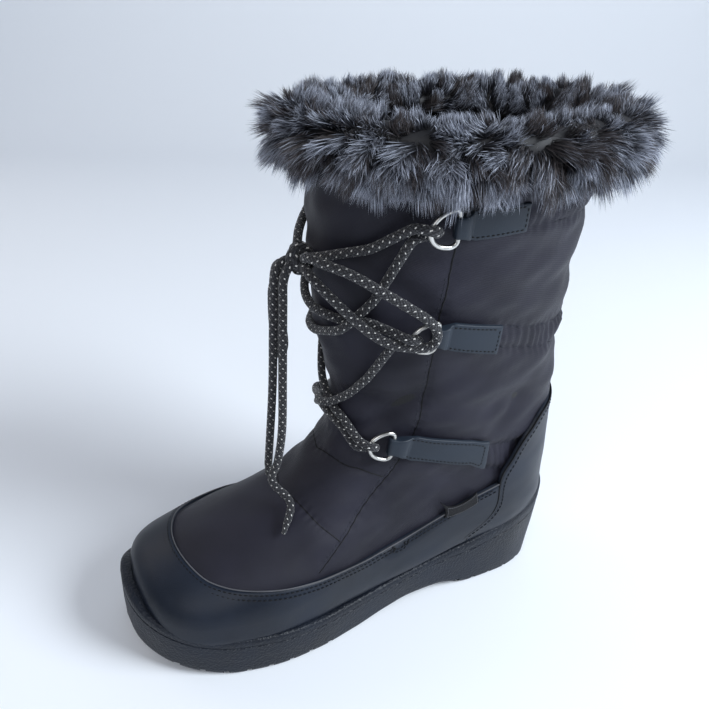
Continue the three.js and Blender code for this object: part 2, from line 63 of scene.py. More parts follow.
def make_camera():
    """A camera whose back vector points from the boot to the lens."""
    flat = math.cos(CAMERA_ELEVATION)
    plan_x, plan_y = math.sin(CAMERA_AZIMUTH), -math.cos(CAMERA_AZIMUTH)
    back = Vector((plan_x * flat, plan_y * flat, math.sin(CAMERA_ELEVATION)))
    level = Vector((0, 0, 1)).cross(back).normalized()
    upright = back.cross(level)
    right = level * math.cos(CAMERA_ROLL) + upright * math.sin(CAMERA_ROLL)
    up = upright * math.cos(CAMERA_ROLL) - level * math.sin(CAMERA_ROLL)
    data = bpy.data.cameras.new("camera")
    data.sensor_width = 36
    data.lens = 36 * FOCAL_SHARE
    data.shift_x, data.shift_y = LENS_SHIFT
    data.clip_start = 0.01
    camera = bpy.data.objects.new("camera", data)
    camera.matrix_world = Matrix.Translation(CAMERA_PLACE) @ Matrix((right, up, back)).transposed().to_4x4()
    bpy.context.scene.collection.objects.link(camera)
    bpy.context.scene.camera = camera
    print("camera lens", round(data.lens, 1))


make_camera()

# %% [markdown]
# ## The last
# A boot is made round a last. Here the last is a table of sections, fanned from the toe round the instep to
# the collar, the same table that the CAD model uses, so fine surfaces lie exactly on the coarse solids.
# A place on it is a station and an angle: 0 degrees is the front, plus is lateral and 180 is the back.

# %% Section tables
HEEL_REST = 47.0
LAST_COLUMNS = (
    "front_f", "front_z", "back_f", "back_z", "lateral", "medial", "widest", "round_top", "round_low")
LAST_ROWS = (
    (270, 41, 270, 37, 1, 1, 0.5, 2, 2),
    (268, 49, 268, 31, 19, 20, 0.45, 2, 3),
    (263, 54, 264, 27, 30.5, 30.5, 0.4, 2.1, 5),
    (252, 59, 255, 25, 40.5, 38.5, 0.38, 2.1, 6.5),
    (238, 64, 242, 24, 47.5, 42.5, 0.36, 2.1, 8),
    (220, 70, 225, 24, 52, 45.5, 0.34, 2.1, 8),
    (200, 78, 204, 24, 54, 47, 0.32, 2.1, 8),
    (181, 88, 180, 24, 51.5, 45, 0.31, 2.1, 8),
    (166, 100, 152, 25, 46.5, 41.5, 0.31, 2.1, 8),
    (156, 114, 122, 26, 41.5, 38.5, 0.33, 2.1, 8),
    (152, 128, 92, 29, 39, 37, 0.37, 2.1, 7),
    (151, 141, 62, 33, 38, 36.5, 0.42, 2.1, 6.5),
    (153, 153, 34, 36, 38, 36.5, 0.46, 2.1, 5.5),
    (156, 164, 13, 42, 39, 37.5, 0.48, 2.1, 3.6),
    (159, 175, 4, 56, 40.5, 39.5, 0.5, 2.1, 2.7),
    (162, 186, 4, 76, 42, 41, 0.5, 2.1, 2.3),
    (164, 197, 7, 98, 44, 43, 0.5, 2.1, 2.2),
    (166, 208, 10, 122, 46, 45, 0.5, 2.1, 2.1),
    (167, 219, 14, 148, 48, 47, 0.5, 2.1, 2.1),
    (168, 231, 18, 176, 49.5, 48.5, 0.5, 2.1, 2.1),
    (168.5, 243, 21, 204, 51, 50, 0.5, 2.1, 2.1),
    (169, 256, 22, 232, 52.5, 51.5, 0.5, 2.1, 2.1),
    (169, 270, 22, 260, 54, 53, 0.5, 2.1, 2.1),
    (168, 283, 22, 281, 55, 54, 0.5, 2.1, 2.1),
    (167, 297, 22, 297, 56, 55, 0.5, 2.1, 2.1),
)
SOLE_COLUMNS = ("f", "lateral", "medial", "top", "bottom")
SOLE_ROWS = (
    (-3, 0, 0, 63.5, 9), (-1, 12.5, 12.5, 62, 6), (4, 22.5, 22.5, 58, 2), (15, 31.5, 31, 52.5, 0),
    (35, 37, 36, 46, 0), (60, 38.5, 36.5, 39, 0), (85, 39, 36.5, 33, 6), (105, 40.5, 37.5, 29.5, 6),
    (125, 43.5, 40, 27, 3.5), (150, 49, 44.5, 26, 0.5), (175, 54.5, 48.5, 26, 0), (200, 57, 50.5, 27, 0),
    (225, 54.5, 48.5, 28.5, 0), (246, 48, 44.5, 30.5, 2.5), (262, 38, 37.5, 34.5, 6),
    (272.5, 26, 27.5, 39, 9.5), (277.5, 14, 15, 42.5, 11.5), (279, 0, 0, 43, 12),
)


def monotone(xs, ys):
    """A monotone cubic through the points, for whole arrays at once."""
    xs = np.asarray(xs, float)
    ys = np.asarray(ys, float)
    slope = np.diff(ys) / np.diff(xs)
    tangent = np.zeros(len(xs))
    tangent[0] = slope[0]
    tangent[-1] = slope[-1]
    both = slope[1:] * slope[:-1]
    safe = np.where(both > 0, slope[1:] + slope[:-1], 1)
    tangent[1:-1] = np.where(both > 0, 2 * both / safe, 0)

    def curve(x):
        x = np.asarray(x, float)
        i = np.clip(np.searchsorted(xs, x) - 1, 0, len(xs) - 2)
        h = xs[i + 1] - xs[i]
        t = np.clip((x - xs[i]) / h, 0, 1)
        start = (1 + 2 * t) * (1 - t) ** 2 * ys[i] + t * (1 - t) ** 2 * h * tangent[i]
        return start + t * t * (3 - 2 * t) * ys[i + 1] + t * t * (t - 1) * h * tangent[i + 1]

    return curve


LAST_END = len(LAST_ROWS) - 1
last = {
    name: monotone(range(len(LAST_ROWS)), [row[i] for row in LAST_ROWS])
    for i, name in enumerate(LAST_COLUMNS)
}
sole = {
    name: monotone([row[0] for row in SOLE_ROWS], [row[i] for row in SOLE_ROWS])
    for i, name in enumerate(SOLE_COLUMNS)
}
rand_top = monotone(
    (-60, 40, 55, 77, 100, 124, 147, 175, 199, 220, 235, 246, 280, 340),
    (92, 90, 84, 75, 66, 58.5, 55, 55.5, 56.5, 57, 58.3, 61.2, 66, 66),
)


def last_point(u, angle):
    """Millimetres in the frame, for arrays of stations and angles in radians."""
    u = np.clip(u, 0, LAST_END)
    c = np.cos(angle)
    s = np.sin(angle)
    power = 2 / np.where(c > 0, last["round_top"](u), last["round_low"](u))
    along = np.sign(c) * np.abs(c) ** power
    across = np.sign(s) * np.abs(s) ** power
    k = last["widest"](u)
    t = np.where(along > 0, k + (1 - k) * along, k + k * along)
    f = last["back_f"](u) + (last["front_f"](u) - last["back_f"](u)) * t
    z = last["back_z"](u) + (last["front_z"](u) - last["back_z"](u)) * t
    x = across * np.where(s > 0, last["lateral"](u), last["medial"](u))
    return np.stack([x, HEEL_REST - f, z], -1)


def unit(v):
    return v / np.maximum(np.linalg.norm(v, axis=-1, keepdims=True), 1e-9)


def last_normal(u, angle):
    along = last_point(np.minimum(u + 0.05, LAST_END), angle) - last_point(np.maximum(u - 0.05, 0), angle)
    round_ = last_point(u, angle + 0.02) - last_point(u, angle - 0.02)
    return -unit(np.cross(along, round_))


def on_last(u, angle, off=0.0):
    """The last moved outwards by off millimetres."""
    u = np.asarray(u, float)
    angle = np.asarray(angle, float)
    return last_point(u, angle) + last_normal(u, angle) * np.asarray(off, float)[..., None]


LOOKUP_U, LOOKUP_A = np.meshgrid(
    np.linspace(0.3, 23.5, 465), np.radians(np.linspace(0, 180, 361)), indexing="ij")
LOOKUP = last_point(LOOKUP_U, LOOKUP_A)


def locate(f, z, x=None):
    """The station and angle (radians, lateral) of a place given in the side view, or with its x as well."""
    away = (LOOKUP[..., 1] - (HEEL_REST - f)) ** 2 + (LOOKUP[..., 2] - z) ** 2
    if x is not None:
        away = away + (LOOKUP[..., 0] - x) ** 2
    i = np.unravel_index(np.argmin(away), away.shape)
    return LOOKUP_U[i], LOOKUP_A[i]


def smooth_line(points, count):
    """Catmull-Rom through points of any dimension, with the points given spread evenly."""
    p = np.asarray(points, float)
    p = np.vstack([2 * p[0] - p[1], p, 2 * p[-1] - p[-2]])
    s = np.linspace(0, len(p) - 3 - 1e-9, count)
    i = s.astype(int)
    t = (s - i)[:, None]
    a, b, c, d = p[i], p[i + 1], p[i + 2], p[i + 3]
    square = (2 * a - 5 * b + 4 * c - d) * t ** 2
    cube = (3 * b - a - 3 * c + d) * t ** 3
    return 0.5 * (2 * b + (c - a) * t + square + cube)


print("ball width", round(float(np.ptp(on_last(np.full(90, 6.0), np.linspace(0, 6.28, 90))[:, 0])), 1), "mm")

# %% [markdown]
# ## Making meshes
# Nearly every piece is a grid of points: a surface over stations and angles, a tube along a line, or a strip.
# numpy fills whole grids at once, which keeps nearly a million triangles quick to make.

# %% Mesh helpers
def arc_length(path):
    """Length along a path at each of its points."""
    return np.concatenate([[0], np.cumsum(np.linalg.norm(np.diff(path, axis=0), axis=1))])


def value_at(at, length, values):
    """Each column of values, read at the lengths in at."""
    return np.stack([np.interp(at, length, values[:, k]) for k in range(values.shape[1])], -1)


def mesh_piece(name, points, faces, uv=None, smooth=True):
    """A mesh object from millimetre points; uv is one pair for each point."""
    mesh = bpy.data.meshes.new(name)
    points = np.asarray(points, np.float32).reshape(-1, 3) * MM
    faces = np.asarray(faces, np.int32)
    sides = faces.shape[1]
    mesh.vertices.add(len(points))
    mesh.vertices.foreach_set("co", points.ravel())
    mesh.loops.add(faces.size)
    mesh.loops.foreach_set("vertex_index", faces.ravel())
    mesh.polygons.add(len(faces))
    mesh.polygons.foreach_set("loop_start", np.arange(0, faces.size, sides, dtype=np.int32))
    mesh.polygons.foreach_set("use_smooth", np.full(len(faces), smooth))
    if uv is not None:
        layer = mesh.uv_layers.new(name="UVMap")
        layer.data.foreach_set("uv", np.asarray(uv, np.float32).reshape(-1, 2)[faces.ravel()].ravel())
    mesh.update(calc_edges=True)
    mesh.validate()
    piece = bpy.data.objects.new(name, mesh)
    bpy.context.scene.collection.objects.link(piece)
    return piece


def grid_faces(rows, columns, around=False, start=0, flip=False):
    """Quads over a grid of points; around closes the columns on themselves."""
    r, c = np.meshgrid(np.arange(rows - 1), np.arange(columns if around else columns - 1), indexing="ij")
    d = (c + 1) % columns
    quads = np.stack([r * columns + c, r * columns + d, (r + 1) * columns + d, (r + 1) * columns + c], -1)
    quads = quads.reshape(-1, 4) + start
    return quads[:, ::-1] if flip else quads


def finish_piece(piece, material, slot, *nodes):
    piece.data.materials.append(material)
    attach(piece, "root")
    if nodes:
        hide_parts(*nodes)
    print(piece.name, len(piece.data.polygons), "faces")
    return piece


def tube_points(path, radius, sides=12):
    """Rings round a path, carried along it without twist, and the length along it at each ring."""
    path = np.asarray(path, float)
    radius = np.broadcast_to(np.asarray(radius, float), len(path))
    tangent = unit(np.gradient(path, axis=0))
    normal = np.zeros_like(path)
    seed = np.array([0.0, 0.0, 1.0]) if abs(tangent[0, 2]) < 0.9 else np.array([1.0, 0.0, 0.0])
    normal[0] = unit(np.cross(tangent[0], seed))
    for i in range(1, len(path)):
        turned = normal[i - 1] - tangent[i] * np.dot(normal[i - 1], tangent[i])
        normal[i] = unit(turned)
    side = np.cross(tangent, normal)
    angle = np.linspace(0, 2 * np.pi, sides, endpoint=False)
    ring = np.cos(angle)[None, :, None] * normal[:, None] + np.sin(angle)[None, :, None] * side[:, None]
    points = path[:, None] + ring * radius[:, None, None]
    return points, arc_length(path)


CAP_RADII = np.array([0.02, 0.6, 0.9])
CAP_DEPTHS = np.array([0.98, 0.8, 0.45])


def tube(name, path, radius, sides=12):
    """A tube mesh. Its uv is the share round and centimetres along; the seam column is doubled for it."""
    path = np.asarray(path, float)
    radius = np.broadcast_to(np.asarray(radius, float), len(path)).copy()
    first = unit(path[1] - path[0])
    final = unit(path[-1] - path[-2])
    start_cap = path[0] - first * radius[0] * CAP_DEPTHS[:, None]
    end_cap = path[-1] + final * radius[-1] * CAP_DEPTHS[:, None]
    path = np.vstack([start_cap, path, end_cap[::-1]])
    radius = np.concatenate([CAP_RADII * radius[0], radius, (CAP_RADII * radius[-1])[::-1]])
    points, length = tube_points(path, radius, sides)
    points = np.concatenate([points, points[:, :1]], axis=1)
    share = np.linspace(0, 1, sides + 1)
    uv = np.stack(np.broadcast_arrays(share[None, :], length[:, None] / 10), -1)
    faces = grid_faces(len(path), sides + 1)
    return mesh_piece(name, points, faces, uv)


def resampled(path, step):
    """The same line with points a fixed step apart."""
    path = np.asarray(path, float)
    length = arc_length(path)
    count = max(4, int(round(length[-1] / step)) + 1)
    return value_at(np.linspace(0, length[-1], count), length, path)

# %% [markdown]
# ## Materials
# Woven nylon, coated leatherette and moulded rubber are all nearly black, and differ by their grain and
# their shine. Two effects are shared, so each is a node group: a weave that follows the uv in millimetres,
# and a fine grain with soft wear that follows the surface in space.

# %% Node helpers
def new_group(name, inputs, outputs):
    group = bpy.data.node_groups.new(name, "ShaderNodeTree")
    for label, kind, value in inputs:
        socket = group.interface.new_socket(label, in_out="INPUT", socket_type=kind)
        if value is not None:
            socket.default_value = value
    for label, kind in outputs:
        group.interface.new_socket(label, in_out="OUTPUT", socket_type=kind)
    return group, group.nodes.new("NodeGroupInput"), group.nodes.new("NodeGroupOutput")


def add_node(tree, kind, **settings):
    node = tree.nodes.new(kind)
    for key, value in settings.items():
        setattr(node, key, value)
    return node


def math_node(tree, operation, a, b=None):
    node = add_node(tree, "ShaderNodeMath", operation=operation)
    for i, value in enumerate((a, b)):
        if value is None:
            continue
        if isinstance(value, (int, float)):
            node.inputs[i].default_value = value
        else:
            tree.links.new(value, node.inputs[i])
    return node.outputs[0]


def ramp(tree, factor, stops):
    node = add_node(tree, "ShaderNodeValToRGB")
    elements = node.color_ramp.elements
    while len(elements) < len(stops):
        elements.new(0.5)
    for element, (position, color) in zip(elements, stops):
        element.position = position
        element.color = (*color, 1)
    tree.links.new(factor, node.inputs[0])
    return node.outputs[0]


def weave_group():
    """Over-and-under threads from a uv in millimetres: a height, and a mask of the raised threads."""
    group, inside, outside = new_group(
        "woven_threads",
        [("UV", "NodeSocketVector", None), ("Thread", "NodeSocketFloat", 0.6)],
        [("Height", "NodeSocketFloat"), ("Mask", "NodeSocketFloat")],
    )
    parts = add_node(group, "ShaderNodeSeparateXYZ")
    group.links.new(inside.outputs["UV"], parts.inputs[0])
    waves = []
    for axis in (0, 1):
        turns = math_node(group, "DIVIDE", parts.outputs[axis], inside.outputs["Thread"])
        waves.append(math_node(group, "SINE", math_node(group, "MULTIPLY", turns, math.pi)))
    product = math_node(group, "MULTIPLY", waves[0], waves[1])
    over = math_node(group, "ABSOLUTE", product)
    group.links.new(over, outside.inputs["Height"])
    group.links.new(math_node(group, "GREATER_THAN", product, 0.0), outside.inputs["Mask"])
    return group


def grain_group():
    """Pebbled grain and slow patches from the place in space: a height, and a mask for wear and colour."""
    group, inside, outside = new_group(
        "grain_and_wear",
        [
            ("Grain", "NodeSocketFloat", 900.0),
            ("Patch", "NodeSocketFloat", 30.0),
            ("Coarse", "NodeSocketFloat", 0.5),
        ],
        [("Height", "NodeSocketFloat"), ("Wear", "NodeSocketFloat")],
    )
    place = add_node(group, "ShaderNodeTexCoord")
    cells = add_node(group, "ShaderNodeTexVoronoi", feature="SMOOTH_F1")
    fine = add_node(group, "ShaderNodeTexNoise")
    slow = add_node(group, "ShaderNodeTexNoise")
    slow.inputs["Detail"].default_value = 4
    for node, scale in ((cells, "Grain"), (fine, "Grain"), (slow, "Patch")):
        group.links.new(place.outputs["Object"], node.inputs["Vector"])
        group.links.new(inside.outputs[scale], node.inputs["Scale"])
    mixed = add_node(group, "ShaderNodeMix", data_type="FLOAT")
    group.links.new(inside.outputs["Coarse"], mixed.inputs[0])
    group.links.new(fine.outputs[0], mixed.inputs[2])
    group.links.new(cells.outputs["Distance"], mixed.inputs[3])
    group.links.new(mixed.outputs[0], outside.inputs["Height"])
    group.links.new(slow.outputs[0], outside.inputs["Wear"])
    return group


WEAVE = weave_group()
GRAIN = grain_group()


def start_material(name, roughness, metallic=0.0, sheen=0.0, specular=0.5):
    material = bpy.data.materials.new(name)
    material.use_nodes = True
    shader = material.node_tree.nodes["Principled BSDF"]
    shader.inputs["Roughness"].default_value = roughness
    shader.inputs["Metallic"].default_value = metallic
    shader.inputs["Specular IOR Level"].default_value = specular
    if sheen:
        shader.inputs["Sheen Weight"].default_value = sheen
        shader.inputs["Sheen Roughness"].default_value = 0.45
    return material, material.node_tree, shader


def place_group(tree, group, **values):
    node = add_node(tree, "ShaderNodeGroup", node_tree=group)
    for key, value in values.items():
        node.inputs[key].default_value = value
    return node


def add_bump(tree, shader, height, distance, strength=1.0):
    bump = add_node(tree, "ShaderNodeBump")
    bump.inputs["Distance"].default_value = distance
    bump.inputs["Strength"].default_value = strength
    tree.links.new(height, bump.inputs["Height"])
    tree.links.new(bump.outputs[0], shader.inputs["Normal"])


# %% Nylon, lining and label cloth
def cloth_material(name, dark, light, thread, roughness, sheen):
    material, tree, shader = start_material(name, roughness, sheen=sheen, specular=0.3)
    uv = add_node(tree, "ShaderNodeUVMap", uv_map="UVMap")
    weave = place_group(tree, WEAVE, Thread=thread)
    tree.links.new(uv.outputs[0], weave.inputs["UV"])
    wear = place_group(tree, GRAIN, Grain=700.0, Patch=22.0)
    tone = math_node(tree, "MULTIPLY_ADD", weave.outputs["Height"], 0.5)
    tree.links.new(wear.outputs["Wear"], tone.node.inputs[2])
    tree.links.new(ramp(tree, tone, [(0.35, dark), (1.0, light)]), shader.inputs["Base Color"])
    add_bump(tree, shader, weave.outputs["Height"], 0.00012, 0.6)
    return material


NYLON = cloth_material("black_nylon", (0.0034, 0.003, 0.0064), (0.0155, 0.0148, 0.028), 0.55, 0.56, 0.05)
LINING = cloth_material("fleece_lining", (0.008, 0.008, 0.009), (0.02, 0.02, 0.022), 1.1, 0.95, 0.2)
LABEL_CLOTH = cloth_material("label_cloth", (0.0012, 0.0012, 0.002), (0.004, 0.004, 0.006), 0.35, 0.7, 0.02)


# %% Leatherette and rubber
def grained_material(name, dark, light, grain, coarse, depth, rough_low, rough_high):
    material, tree, shader = start_material(name, 0.5, specular=0.3)
    group = place_group(tree, GRAIN, Grain=grain, Patch=28.0, Coarse=coarse)
    tone = ramp(tree, group.outputs["Wear"], [(0.3, dark), (0.75, light)])
    tree.links.new(tone, shader.inputs["Base Color"])
    rough = add_node(tree, "ShaderNodeMapRange")
    rough.inputs["From Min"].default_value = 0.3
    rough.inputs["From Max"].default_value = 0.7
    rough.inputs["To Min"].default_value = rough_low
    rough.inputs["To Max"].default_value = rough_high
    tree.links.new(group.outputs["Wear"], rough.inputs[0])
    tree.links.new(rough.outputs[0], shader.inputs["Roughness"])
    add_bump(tree, shader, group.outputs["Height"], depth)
    return material


LEATHERETTE = grained_material(
    "coated_leatherette", (0.004, 0.0064, 0.0122), (0.0085, 0.0135, 0.0255), 1400.0, 0.5, 0.00008, 0.36, 0.5)
STRAP_LEATHER = grained_material(
    "strap_leatherette", (0.013, 0.019, 0.029), (0.02, 0.029, 0.043), 1400.0, 0.5, 0.00008, 0.4, 0.55)
RUBBER = grained_material(
    "sole_rubber", (0.003, 0.0042, 0.0078), (0.01, 0.0142, 0.0245), 800.0, 0.75, 0.0006, 0.38, 0.55)
WELT = grained_material("pale_edge", (0.05, 0.05, 0.055), (0.11, 0.11, 0.12), 900.0, 0.5, 0.00005, 0.5, 0.7)
THREAD = grained_material(
    "sewing_thread", (0.0008, 0.0009, 0.0014), (0.002, 0.0022, 0.0034), 2200.0, 0.5, 0.0001, 0.6, 0.8)
PALE_THREAD = grained_material(
    "pale_thread", (0.012, 0.014, 0.02), (0.03, 0.034, 0.046), 2200.0, 0.5, 0.0001, 0.6, 0.8)


# %% Ring metal
def steel_material():
    material, tree, shader = start_material("ring_metal", 0.28, metallic=1.0)
    group = place_group(tree, GRAIN, Grain=500.0, Patch=120.0)
    tree.links.new(
        ramp(tree, group.outputs["Wear"], [(0.3, (0.36, 0.34, 0.31)), (0.7, (0.7, 0.69, 0.66))]),
        shader.inputs["Base Color"])
    return material


STEEL = steel_material()


# %% Lace braid
BRAID_STRANDS = 8
BRAID_PER_CM = 5.0
FLECKS_ROUND = 4.0
FLECKS_PER_CM = 3.7
FLECK_LONG = 0.14
FLECK_WIDE = 0.1


def lace_material():
    """A round braid: two sets of dark strands, and pale flecks that climb round it."""
    material, tree, shader = start_material("braided_lace", 0.6, sheen=0.15)
    uv = add_node(tree, "ShaderNodeUVMap", uv_map="UVMap")
    parts = add_node(tree, "ShaderNodeSeparateXYZ")
    tree.links.new(uv.outputs[0], parts.inputs[0])
    turns, along = parts.outputs[0], parts.outputs[1]
    round_part = math_node(tree, "MULTIPLY", turns, BRAID_STRANDS)
    long_part = math_node(tree, "MULTIPLY", along, BRAID_PER_CM)
    ways = []
    for way in ("ADD", "SUBTRACT"):
        slant = math_node(tree, way, round_part, long_part)
        ways.append(math_node(tree, "SINE", math_node(tree, "MULTIPLY", slant, math.pi)))
    braid = math_node(tree, "ABSOLUTE", math_node(tree, "MULTIPLY", *ways))
    # Flecks: cells of a slanted grid, four round the lace and one in each 2.7 mm of its length.
    row = math_node(tree, "MULTIPLY", along, FLECKS_PER_CM)
    shift = math_node(tree, "MULTIPLY", row, 0.5)
    column = math_node(tree, "ADD", math_node(tree, "MULTIPLY", turns, FLECKS_ROUND), shift)
    inside = []
    for place, half in ((row, FLECK_LONG), (column, FLECK_WIDE)):
        middle = math_node(tree, "SUBTRACT", math_node(tree, "FRACT", place), 0.5)
        inside.append(math_node(tree, "LESS_THAN", math_node(tree, "ABSOLUTE", middle), half))
    fleck = math_node(tree, "MULTIPLY", *inside)
    dark = ramp(tree, braid, [(0.1, (0.004, 0.004, 0.006)), (0.9, (0.022, 0.022, 0.028))])
    mix = add_node(tree, "ShaderNodeMix", data_type="RGBA")
    tree.links.new(fleck, mix.inputs[0])
    tree.links.new(dark, mix.inputs[6])
    mix.inputs[7].default_value = (0.72, 0.7, 0.66, 1)
    tree.links.new(mix.outputs[2], shader.inputs["Base Color"])
    add_bump(tree, shader, braid, 0.0005)
    return material


LACE = lace_material()


# %% Fur
def fur_material(name, root, middle, tip, brown):
    """Strand colour from its uv: x is the strand's own tone, y runs from root to tip."""
    material, tree, shader = start_material(name, 0.55, sheen=0.1, specular=0.3)
    uv = add_node(tree, "ShaderNodeUVMap", uv_map="UVMap")
    parts = add_node(tree, "ShaderNodeSeparateXYZ")
    tree.links.new(uv.outputs[0], parts.inputs[0])
    grey = ramp(tree, parts.outputs[1], [(0.1, root), (0.55, middle), (0.95, tip)])
    warm = ramp(tree, parts.outputs[1], [(0.1, root), (0.6, brown), (1.0, brown)])
    mix = add_node(tree, "ShaderNodeMix", data_type="RGBA")
    tree.links.new(ramp(tree, parts.outputs[0], [(0.16, (1, 1, 1)), (0.38, (0, 0, 0))]), mix.inputs[0])
    tree.links.new(grey, mix.inputs[6])
    tree.links.new(warm, mix.inputs[7])
    tree.links.new(mix.outputs[2], shader.inputs["Base Color"])
    return material


# Dark roots: partly the fur's own tone, partly painted shade deep in the pile. Silver tips: partly their own
# tone, partly painted highlight. The backing's dark tone is partly its own, partly painted shade inside the
# pile.
FUR = fur_material(
    "fur_strands", (0.004, 0.004, 0.006), (0.026, 0.028, 0.038), (0.6, 0.64, 0.75), (0.06, 0.05, 0.05))
FUR_BACKING = fur_material(
    "fur_backing", (0.008, 0.008, 0.01), (0.012, 0.012, 0.015), (0.02, 0.02, 0.024), (0.012, 0.01, 0.01))
print(len(bpy.data.materials), "materials")

# %% [markdown]
# ## Where the seams, straps and folds lie
# The upper is cut from panels. Its seams, gathered bands and folds are lines on the last, given in the side
# view as millimetres forward of the heel and up, so they can be read off the real boot with a ruler.

# %% Lines on the upper
SIDES = ((1, "lateral"), (-1, "medial"))


def side_line(marks, count=40):
    """A smooth line of (station, angle) through (f, z) or (f, z, x) marks on the lateral side."""
    return smooth_line([locate(*mark) for mark in marks], count)


SIDE_SEAM = side_line([(121, 250), (121, 228), (120.5, 204), (120, 186), (119, 172), (117.5, 156), (117, 135),
                       (121, 119), (129, 104), (144, 88), (161, 72), (176, 59)])
THROAT_SEAM = side_line([(160, 109, 0), (153, 109, 20), (145, 108, 28), (133, 103, 34)], 16)
VAMP_SEAM = side_line([(185, 90, 0), (180, 88, 11), (173, 82, 32), (162, 72, 41)], 16)
STRAP_CORNERS = (
    # (station, degrees) at the ring end, top and low, then at the back end, top and low
    ((12.17, 50), (10.79, 52), (14.75, 95), (13.5, 93)),
    ((18.29, 66), (17.32, 65), (18.78, 93), (17.96, 92)),
    ((21.42, 67), (20.64, 68), (21.67, 93), (21.08, 94)),
)
BAND_LEVELS = (
    # station of the upper and lower stitch line at the strap's back end and at the back of the boot
    ((14.35, 15.8), (13.35, 14.9)),
    ((18.66, 19.6), (18.1, 19.15)),
    ((21.6, 21.95), (21.16, 21.55)),
)
BAND_DEGREES = ((92, 128), (92, 180), (93, 180))


def band_line(number, edge, count=50):
    """One stitch line of a gathered band, from behind its strap to the back."""
    start, end = BAND_LEVELS[number][edge]
    first, final = BAND_DEGREES[number]
    t = np.linspace(0, 1, count)
    return np.stack([start + (end - start) * t, np.radians(first + (final - first) * t)], -1)


# Folds of the padded cloth: (f, z) marks on the lateral side, half-width and depth in millimetres.
FOLDS = (
    ([(133, 142), (126, 150), (119, 156)], 7, 2.6),
    ([(140, 133), (133, 141)], 5, 1.6),
    ([(152, 146), (141, 150), (128, 153)], 8, 1.3),
    ([(150, 170), (138, 182), (126, 196)], 9, 1.5),
    ([(152, 190), (141, 178), (128, 172)], 8, 1.2),
    ([(112, 205), (92, 199), (66, 193)], 8, 1.4),
    ([(113, 168), (92, 172), (64, 168)], 9, 1.3),
    ([(110, 236), (84, 232), (58, 236)], 9, 1.3),
    ([(84, 141), (66, 147), (46, 140)], 8, 1.9),
    ([(72, 128), (62, 136), (52, 150)], 6, 1.6),
    ([(108, 112), (92, 100), (76, 92)], 9, 1.4),
    ([(122, 96), (104, 84), (84, 80)], 8, 1.1),
    ([(148, 225), (136, 214), (124, 208)], 8, 1.4),
    ([(155, 243), (140, 236), (126, 232)], 8, 1.2),
    ([(168, 84), (184, 74), (204, 68)], 10, 1.0),
    ([(154, 122), (146, 118), (136, 116)], 6, 1.3),
    ([(40, 165), (26, 172), (16, 170)], 7, 1.3),
    ([(44, 214), (30, 220), (18, 216)], 8, 1.2),
)
FOLD_LINES = [(side_line(marks, 14), wide, deep) for marks, wide, deep in FOLDS]


def trough(points, line, side, wide, deep):
    """Depth in millimetres of a soft trough along a line, fading at its ends."""
    path = last_point(line[:, 0], line[:, 1] * side)
    fade = np.sin(np.linspace(0.25, math.pi - 0.25, len(path))) ** 0.7
    best = np.zeros(points.shape[:-1])
    for place, weight in zip(path, fade):
        away = np.sum((points - place) ** 2, -1)
        best = np.maximum(best, weight * np.exp(-away / wide ** 2))
    return deep * best


FOLD_DEPTH = 1.6
# Slack in the cloth: wavelength and height in millimetres.
WAVE_SIZES = ((46, 0.4), (38, 0.35), (30, 0.3), (26, 0.25), (20, 0.2), (17, 0.16), (13, 0.12), (11, 0.1))
WAVES = [
    (random.normal(size=3) / wave * 2 * math.pi, random.uniform(0, 6.28), size)
    for wave, size in WAVE_SIZES
    for _ in range(2)
]


def slow_waves(points):
    total = np.zeros(points.shape[:-1])
    for wave, phase, size in WAVES:
        total += size * np.sin(points @ (wave * 0.6) + phase)
    return total


def relief(u, angle):
    """How far the padded cloth stands off the last, in millimetres: seams, bands, folds and slack."""
    u, angle = np.broadcast_arrays(np.asarray(u, float), np.asarray(angle, float))
    points = last_point(u, angle)
    total = slow_waves(points) * np.clip((u - 4) / 5, 0.25, 1)
    degrees = np.abs(np.degrees((angle + np.pi) % (2 * np.pi) - np.pi))
    for side, _ in SIDES:
        for line, wide, deep in ((SIDE_SEAM, 2.2, 1.0), (THROAT_SEAM, 1.8, 0.9), (VAMP_SEAM, 1.8, 0.9)):
            total -= trough(points, line, side, wide, deep)
            total -= trough(points, line, side, wide * 4, deep * 0.6)
        for line, wide, deep in FOLD_LINES:
            total -= trough(points, line, side, wide, deep * FOLD_DEPTH)
    for number, (first, final) in enumerate(BAND_DEGREES):
        start, end = BAND_LEVELS[number][0], BAND_LEVELS[number][1]
        t = np.clip((degrees - first) / (final - first), 0, 1)
        upper = start[0] + (start[1] - start[0]) * t
        lower = end[0] + (end[1] - end[0]) * t
        here = np.clip((degrees - first + 6) / 8, 0, 1) * np.clip((final + 8 - degrees) / 8, 0, 1)
        middle = (upper + lower) / 2
        half = (upper - lower) / 2
        spread = (u - middle) / half
        near_edges = np.exp(-((np.abs(spread) - 1) / 0.28) ** 2)
        uneven = 0.9 * np.sin(degrees * 0.31 + number)
        gathers = np.sin(degrees * 1.45 + uneven) * np.exp(-(spread / 1.5) ** 4)
        total += here * (-1.3 * near_edges + 0.45 * gathers - 0.9 * np.exp(-(spread / 2.2) ** 2))
    return total


def on_boot(u, angle, off=0.0):
    """A place on the upper's real surface, with its folds."""
    return on_last(u, angle, relief(u, angle) + off)


# %% [markdown]
# ## The upper and its lining
# One skin from the toe to the cut edge under the fur, with its folds moved into the mesh. The fleece lining
# is a second skin inside it, a wall's thickness in, and the two are closed along the top.

# %% Upper
SHAFT_TOP = 22.6
WALL = 5.0


